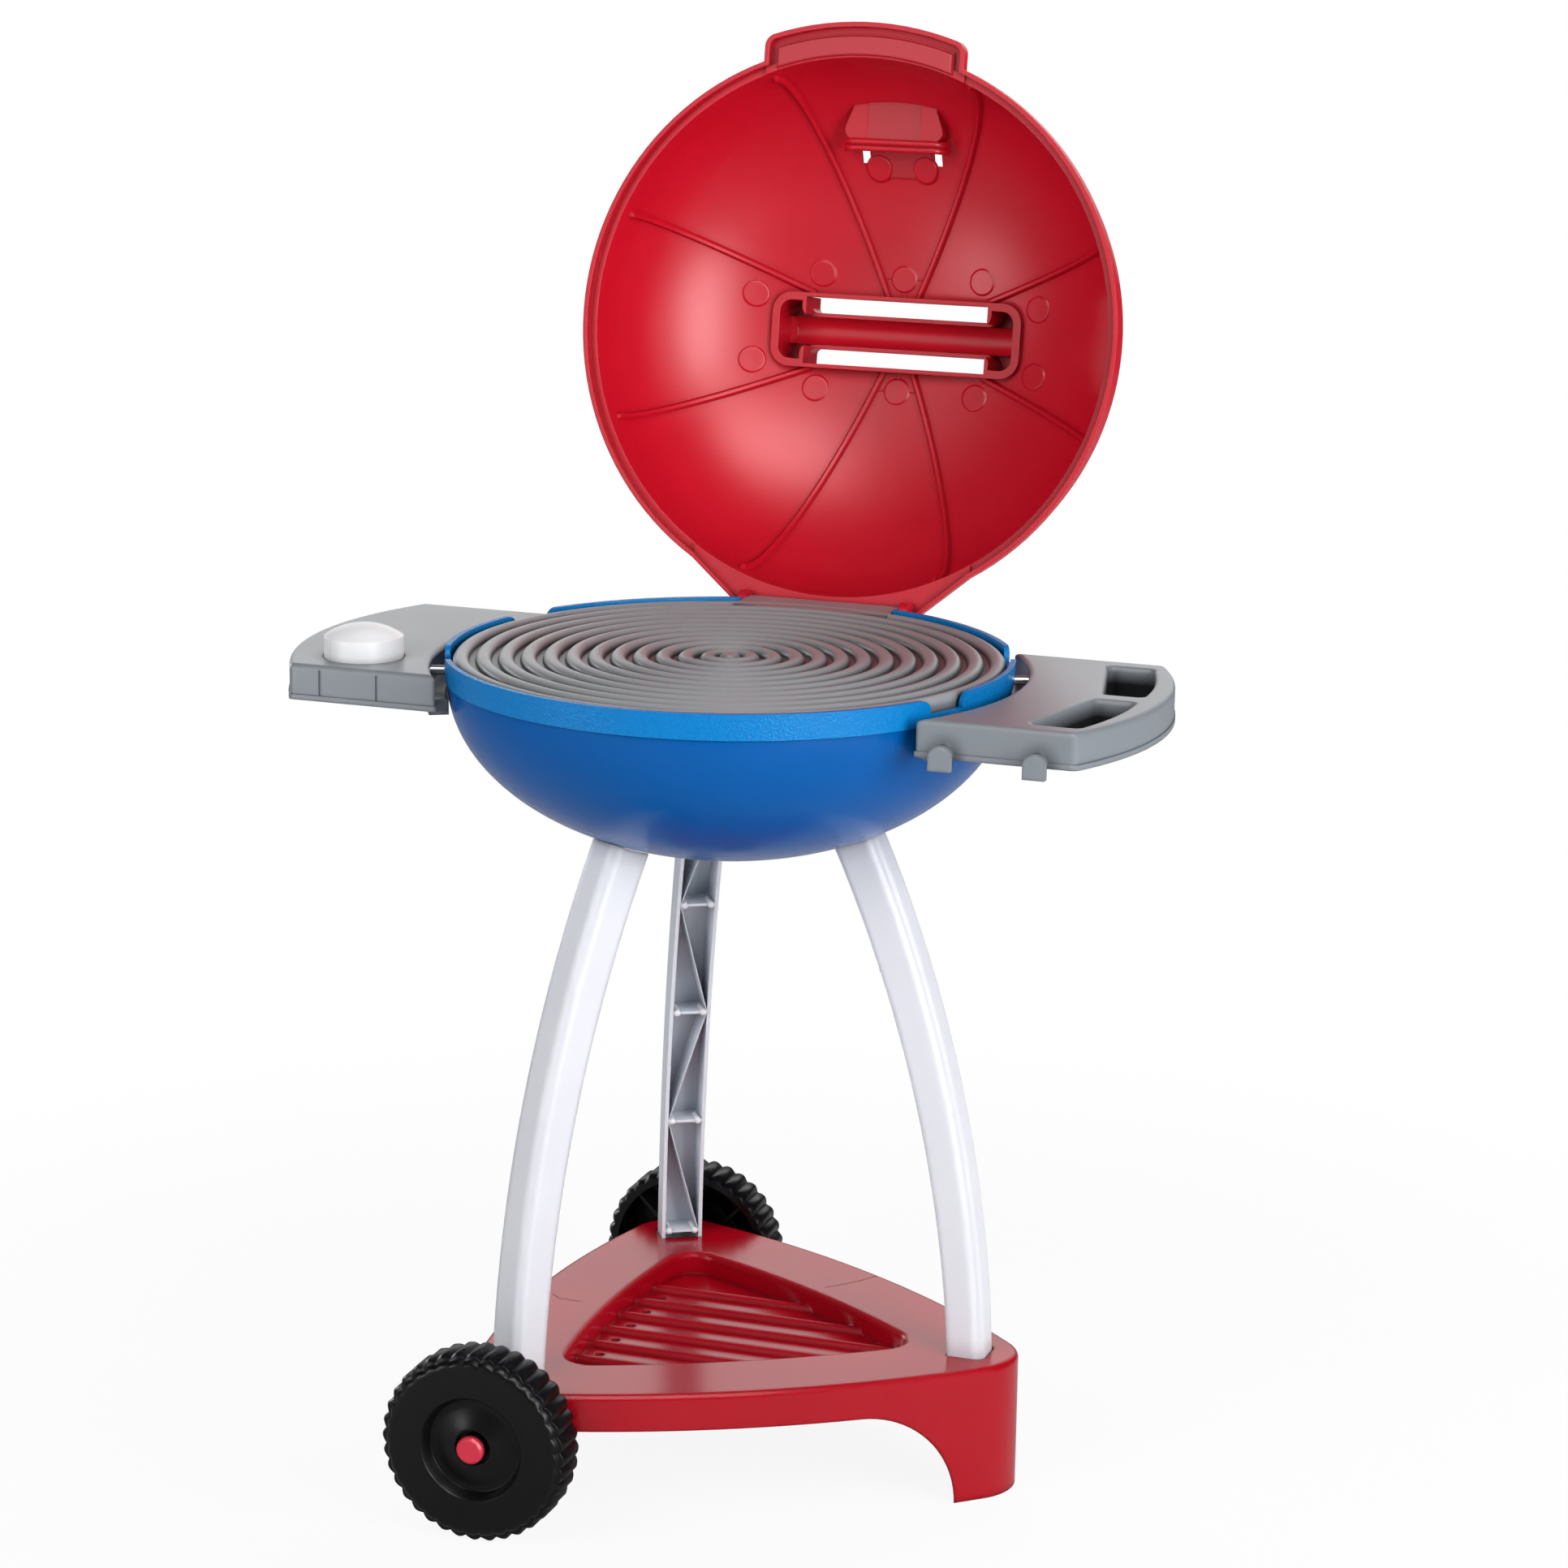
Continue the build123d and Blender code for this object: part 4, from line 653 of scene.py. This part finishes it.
# %% [markdown]
# ## The wheels
#
# The wheels are single mouldings with a dished face, a lobed tread and a hollow back. The lobes
# could be cut from a cylinder one by one. As they are all alike, a wheel is made as one closed
# profile spun about its axle, whose radius rises and falls as it turns. Each station of the profile
# has a radius, a place across the wheel measured inwards from its outer face, and a lobe depth, all
# in millimetres. The tread has 36 round lobes with sharp valleys between them:
#
#     radius(turn) = station radius - lobe depth * (1 - |cos(18 * turn)|)

# %% Describe the wheel
lobe_count = 36
points_per_lobe = 12
axle_x, axle_y, axle_z = -90.0 * millimetre, -setback, 62.0 * millimetre
outer_face = 211.0 * millimetre
front_of_wheel = [(5.1, 1.9, 0), (9.0, 1.9, 0), (9.1, 7.0, 0), (11.3, 7.0, 0), (11.4, 3.4, 0),
                  (12.2, 3.1, 0), (13.0, 3.3, 0), (16.5, 4.6, 0), (20.0, 5.8, 0), (24.5, 7.2, 0),
                  (28.8, 8.2, 0), (30.4, 7.6, 0), (33.3, 0.7, 0), (34.0, 0.0, 0), (53.5, 0.0, 0),
                  (55.6, 0.4, 0.5), (57.0, 1.3, 1.1), (58.2, 2.9, 1.3), (60.6, 3.6, 2.0)]
tread_of_wheel = [(62.0, 5.6, 2.6), (62.0, 26.0, 2.6), (60.8, 29.6, 2.2), (58.6, 31.5, 1.6)]
back_of_wheel = [(53.2, 31.5, 0), (53.0, 30.9, 0), (53.0, 3.0, 0), (37.0, 3.0, 0), (32.0, 11.0, 0),
                 (12.0, 11.0, 0), (12.0, 31.2, 0), (11.7, 31.5, 0), (5.1, 31.5, 0)]


def wheel_points(side):
    """The profile spun about the axle; side is 1 for the rear wheel and -1 for the front one.

    The radius at a turn is the station's radius less its lobe depth * (1 - |cos(18 * turn)|)."""
    stations = np.array(front_of_wheel + tread_of_wheel + back_of_wheel) * millimetre
    turn = np.linspace(0.0, 2 * pi, lobe_count * points_per_lobe, endpoint=False)[None, :]
    dip = 1.0 - np.abs(np.cos(turn * lobe_count / 2))
    radius = stations[:, 0:1] - stations[:, 2:3] * dip
    across = np.broadcast_to(axle_y + side * (outer_face - stations[:, 1:2]), radius.shape)
    return np.stack([axle_x + radius * np.cos(turn), across, axle_z + radius * np.sin(turn)], -1)


print("points on a wheel:", wheel_points(1).shape)

# %% [markdown]
# The hollow inner side, which shows on the far wheel, has eight flat ribs between its hub and its
# rim. Each is a box, turned about the axle to its place.

# %% Describe the wheel's ribs
wheel_rib_count = 8
rib_inner, rib_outer, rib_half_thick = 11.0 * millimetre, 53.5 * millimetre, 1.2 * millimetre
rib_near, rib_far = 8.0 * millimetre, 29.5 * millimetre


def box_points(half_x, half_y, half_z):
    """A box as a grid: a square tube along z whose ends close to a point."""
    ring = np.array([(-1, -1), (1, -1), (1, 1), (-1, 1)])
    rows = [(0, -1), (1, -1), (1, 1), (0, 1)]
    return np.array([[(half_x * x * size, half_y * y * size, half_z * z) for x, y in ring]
                     for size, z in rows])


def wheel_rib(side, turn):
    """One rib: a box whose length points away from the axle at an angle."""
    rib = box_points(rib_half_thick, (rib_far - rib_near) / 2, (rib_outer - rib_inner) / 2)
    along = rib[..., 2] + (rib_outer + rib_inner) / 2
    x = axle_x + along * cos(turn) - rib[..., 0] * sin(turn)
    z = axle_z + along * sin(turn) + rib[..., 0] * cos(turn)
    y = axle_y + side * (outer_face - (rib_far + rib_near) / 2) + rib[..., 1]
    return np.stack([x, y, z], axis=-1)


print("rib length:", round(rib_outer - rib_inner, 4))

# %% [markdown]
# The two wheels are mirror images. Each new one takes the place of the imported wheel.

# %% Build the wheels
for word, side in (("front", -1), ("rear", 1)):
    body = "wheel_" + word
    wheel = surface(body + "_tread", [wheel_points(side)], body, wheel_black,
                    wrap_u=True, wrap_v=True, sharp_angle=35)
    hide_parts(body)
    ribs = [wheel_rib(side, 2 * pi * number / wheel_rib_count) for number in range(wheel_rib_count)]
    surface(body + "_ribs", ribs, body, wheel_black, wrap_v=True)
print("wheel width and height:", [round(v, 4) for v in wheel.dimensions])

# %% [markdown]
# ## Pins in the legs
#
# Each leg is a channel that opens towards the middle. Small round pins stand at both ends of the
# webs that cross it. They could be copies of one pin, but a copy carries its place in its object,
# and here every piece keeps its place in its mesh. So a pin's points are worked out where it
# stands. The channel's mouth follows a parabola through three places (reach, height).

# %% Set the pins in the channels
mouth = np.array([(66.5, 440.0), (138.1, 240.0), (159.9, 68.0)]) * millimetre
web_heights = np.array([340.5, 258.2, 175.9, 93.6]) * millimetre
pin_side, pin_radius, pin_rise = 8.9 * millimetre, 2.5 * millimetre, 1.7 * millimetre
pin_stations = np.array([0.0, 0.05, 0.15, 0.3, 0.5, 0.75, 1.0, 3.0, 6.0])
mouth_bend = np.polyfit(mouth[:, 1], mouth[:, 0], 2)


def pin_points(leg_turn, side, height):
    """A round-nosed pin that points to the middle.

    Its girth is radius times sqrt(1 - k^2), where k falls from 1 at the tip to 0 where the nose
    ends, and then stays at the radius."""
    along = pin_stations[:, None] * pin_radius
    girth = pin_radius * np.sqrt(np.clip(1.0 - (1.0 - along / pin_radius) ** 2, 0.0, 1.0))
    girth = np.where(along > pin_radius, pin_radius, girth)
    turn = np.linspace(0.0, 2 * pi, 20, endpoint=False)[None, :]
    reach = np.polyval(mouth_bend, height) - pin_rise + along + 0.0 * turn
    beside = side * pin_side + girth * np.cos(turn)
    up = height + girth * np.sin(turn)
    x = reach * cos(leg_turn) - beside * sin(leg_turn)
    y = reach * sin(leg_turn) + beside * cos(leg_turn) + axle_y
    return np.stack([x, y, up], axis=-1)


for number, word in enumerate(("right", "rear", "front")):
    pins = [pin_points(2 * pi * number / 3, side, height)
            for side in (-1, 1) for height in web_heights]
    surface(f"leg_{word}_pins", pins, "stand", knob_white, wrap_v=True,
            closed=False)
print("pins per leg:", len(pins))

# %% [markdown]
# ## Knit lines in the base
#
# Where two streams of plastic met in the mould, a hairline is left. Two of them cross the base's
# top. A texture could paint them, but it would need a map of the base and blur close up. Each is
# a thin strip that follows a short zigzag, lying a hair above the face.

# %% Draw the knit lines
knit_height = 89.1 * millimetre
knit_half_width = 0.35 * millimetre
right_knit = [(45.4, -0.1), (55.1, 10.5), (63.8, 22.4), (70.5, 33.7)]
left_knit = [(-120.0, -78.4), (-112.0, -85.3), (-107.0, -83.4), (-103.8, -85.5), (-97.2, -84.5)]


def knit_line(corners):
    """A strip along a zigzag of (x, y) places in mm, each set off sideways by the half width."""
    way = np.array(corners) * millimetre
    run = np.gradient(way, axis=0)
    beside = np.stack([-run[:, 1], run[:, 0]], axis=1) / np.hypot(run[:, 0], run[:, 1])[:, None]
    across = np.array([-1.0, 1.0])[None, :, None] * knit_half_width
    flat = way[:, None, :] + beside[:, None, :] * across
    return np.concatenate([flat, np.full(flat.shape[:2] + (1,), knit_height)], axis=2)


knits = [knit_line(right_knit), knit_line(left_knit)]
surface("base_knit_lines", knits, "stand", knit_red, closed=False)
print("knit lines:", len(knits))

# %% [markdown]
# ## The floor
#
# A pale floor keeps the grill's soft shadow. Lit until it turned white, it would throw too much
# light up at the object. So the camera alone sees it as white paper, part of it a glow and part of
# it a dark sheet that takes the shadow, and it fades into plain white away from the object. To
# every other ray it is a pale floor, a little dimmer to the rays that make reflections.

# %% Lay the floor
floor_half = 6.0
fade_start, fade_end = 0.35, 1.0
paper_glow = 0.91
white = linear("#FFFFFF")
floor_mesh = bpy.data.meshes.new("floor")
corners = [(-floor_half, -floor_half, 0), (floor_half, -floor_half, 0),
           (floor_half, floor_half, 0), (-floor_half, floor_half, 0)]
floor_mesh.from_pydata(corners, [], [(0, 1, 2, 3)])
floor = bpy.data.objects.new("floor", floor_mesh)
bpy.context.scene.collection.objects.link(floor)

floor_paper, tree, place = empty_material("white_paper_floor")
reach = add_node(tree, "VectorMath", {0: place}, operation="LENGTH")
fade = add_node(tree, "MapRange", {"Value": reach, "From Min": fade_start, "From Max": fade_end},
                interpolation_type="SMOOTHSTEP")
light_path = add_node(tree, "LightPath")
pale = add_node(tree, "Mix", {0: light_path.outputs["Is Glossy Ray"], 6: linear("#DADADC"),
                              7: linear("#C4C4C6")}, data_type="RGBA")
paper = add_node(tree, "BsdfDiffuse", {"Color": pale})
shadow_catcher = add_node(tree, "BsdfDiffuse", {"Color": linear("#4C4C4D")})
glow = add_node(tree, "Emission", {"Color": white, "Strength": paper_glow})
near = add_node(tree, "AddShader", {0: shadow_catcher, 1: glow})
far = add_node(tree, "Emission", {"Color": white, "Strength": 1.0})
seen = add_node(tree, "MixShader", {0: fade, 1: near, 2: far})
switch = add_node(tree, "MixShader", {0: light_path.outputs["Is Camera Ray"], 1: paper, 2: seen})
add_node(tree, "OutputMaterial", {"Surface": switch})
floor_mesh.materials.append(floor_paper)
print("floor side:", 2 * floor_half)

# %% [markdown]
# ## The air
#
# A white world would light the object evenly from all sides and flatten it. Here the world shows
# white to the camera, also through clear things, and gives the object only a trace of light, so
# that the lamps alone shape it.

# %% Fill the air
air_light = 0.05
world = bpy.data.worlds.new("studio_air")
bpy.context.scene.world = world
world.use_nodes = True
tree = world.node_tree
tree.nodes.clear()
light_path = add_node(tree, "LightPath")
direct = add_node(tree, "Math", {0: light_path.outputs["Is Camera Ray"],
                                 1: light_path.outputs["Is Transmission Ray"]},
                  operation="MAXIMUM")
strength = add_node(tree, "MapRange", {"Value": direct, "To Min": air_light})
air = add_node(tree, "Background", {"Color": white, "Strength": strength})
add_node(tree, "OutputWorld", {"Surface": air})
print("world:", world.name)

# %% [markdown]
# ## The lamps
#
# The lamps stand where the highlights in the lid say: a tall soft box to the right, a wide one above
# the front and a low one to the left. A small one at the far left edges the bowl, and a broad
# backdrop lies pale on the glossy base. These five show only in highlights. Two fills from the
# front and one from behind light the faces plainly and show in no highlight.

# %% Hang the lamps
def soft_lamp(name, azimuth, elevation, distance, width, height, power, plain=True, shine=True,
              aim=(0.0, 0.1, 0.6)):
    """A rectangular lamp; azimuth turns from the front (-Y) towards +X, elevation rises from level.

    plain and shine say whether it lights the faces plainly and whether it shows in highlights."""
    side, rise = radians(azimuth), radians(elevation)
    away = Vector((sin(side) * cos(rise), -cos(side) * cos(rise), sin(rise)))
    place = Vector(aim) + away * distance
    data = bpy.data.lights.new(name, "AREA")
    data.shape = "RECTANGLE"
    data.size, data.size_y, data.energy = width, height, power
    lamp = bpy.data.objects.new(name, data)
    facing = (-away).to_track_quat("-Z", "Y").to_matrix().to_4x4()
    lamp.matrix_world = Matrix.Translation(place) @ facing
    lamp.visible_camera, lamp.visible_diffuse, lamp.visible_glossy = False, plain, shine
    bpy.context.scene.collection.objects.link(lamp)
    return lamp


shine_right = soft_lamp("shine_right", azimuth=46, elevation=9, distance=2.4, width=0.9,
                        height=1.5, power=50, plain=False)
soft_lamp("shine_front", azimuth=19, elevation=47, distance=2.3, width=1.5, height=0.8, power=38,
          plain=False)
soft_lamp("shine_low_left", azimuth=-40, elevation=-3, distance=2.2, width=0.7, height=0.45,
          power=9, plain=False)
soft_lamp("rim_left", azimuth=-112, elevation=2, distance=2.2, width=0.8, height=0.8, power=12,
          plain=False)
soft_lamp("backdrop", azimuth=199, elevation=14, distance=2.6, width=2.8, height=1.2, power=15,
          plain=False)
soft_lamp("fill_left", azimuth=-22, elevation=20, distance=2.4, width=1.6, height=1.6, power=36,
          shine=False)
soft_lamp("fill_right", azimuth=64, elevation=10, distance=2.4, width=1.6, height=1.6, power=62,
          shine=False)
soft_lamp("back_top", azimuth=180, elevation=50, distance=2.4, width=2.6, height=1.4, power=42,
          shine=False)

# %% [markdown]
# Seen from behind, the flat tops would throw the tall lamp straight back as glare. A photographer
# would put up a flag, a board that keeps one lamp off one thing. Light linking does the same: the
# pieces in a collection are marked as left out, and the lamp is told to heed that collection.

# %% Flag the tall lamp off the flat tops
flat_tops = bpy.data.collections.new("flat_tops")
for node_name in ("base_tray", "shelf_left", "shelf_right", "grate"):
    flat_tops.objects.link(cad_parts[node_name])
for entry in flat_tops.collection_objects:
    entry.light_linking.link_state = "EXCLUDE"
shine_right.light_linking.receiver_collection = flat_tops

# %% [markdown]
# ## Finish
#
# The Standard view shows each colour as it is written.

# %% Finish
bpy.context.scene.view_settings.view_transform = "Standard"
bpy.context.view_layer.update()
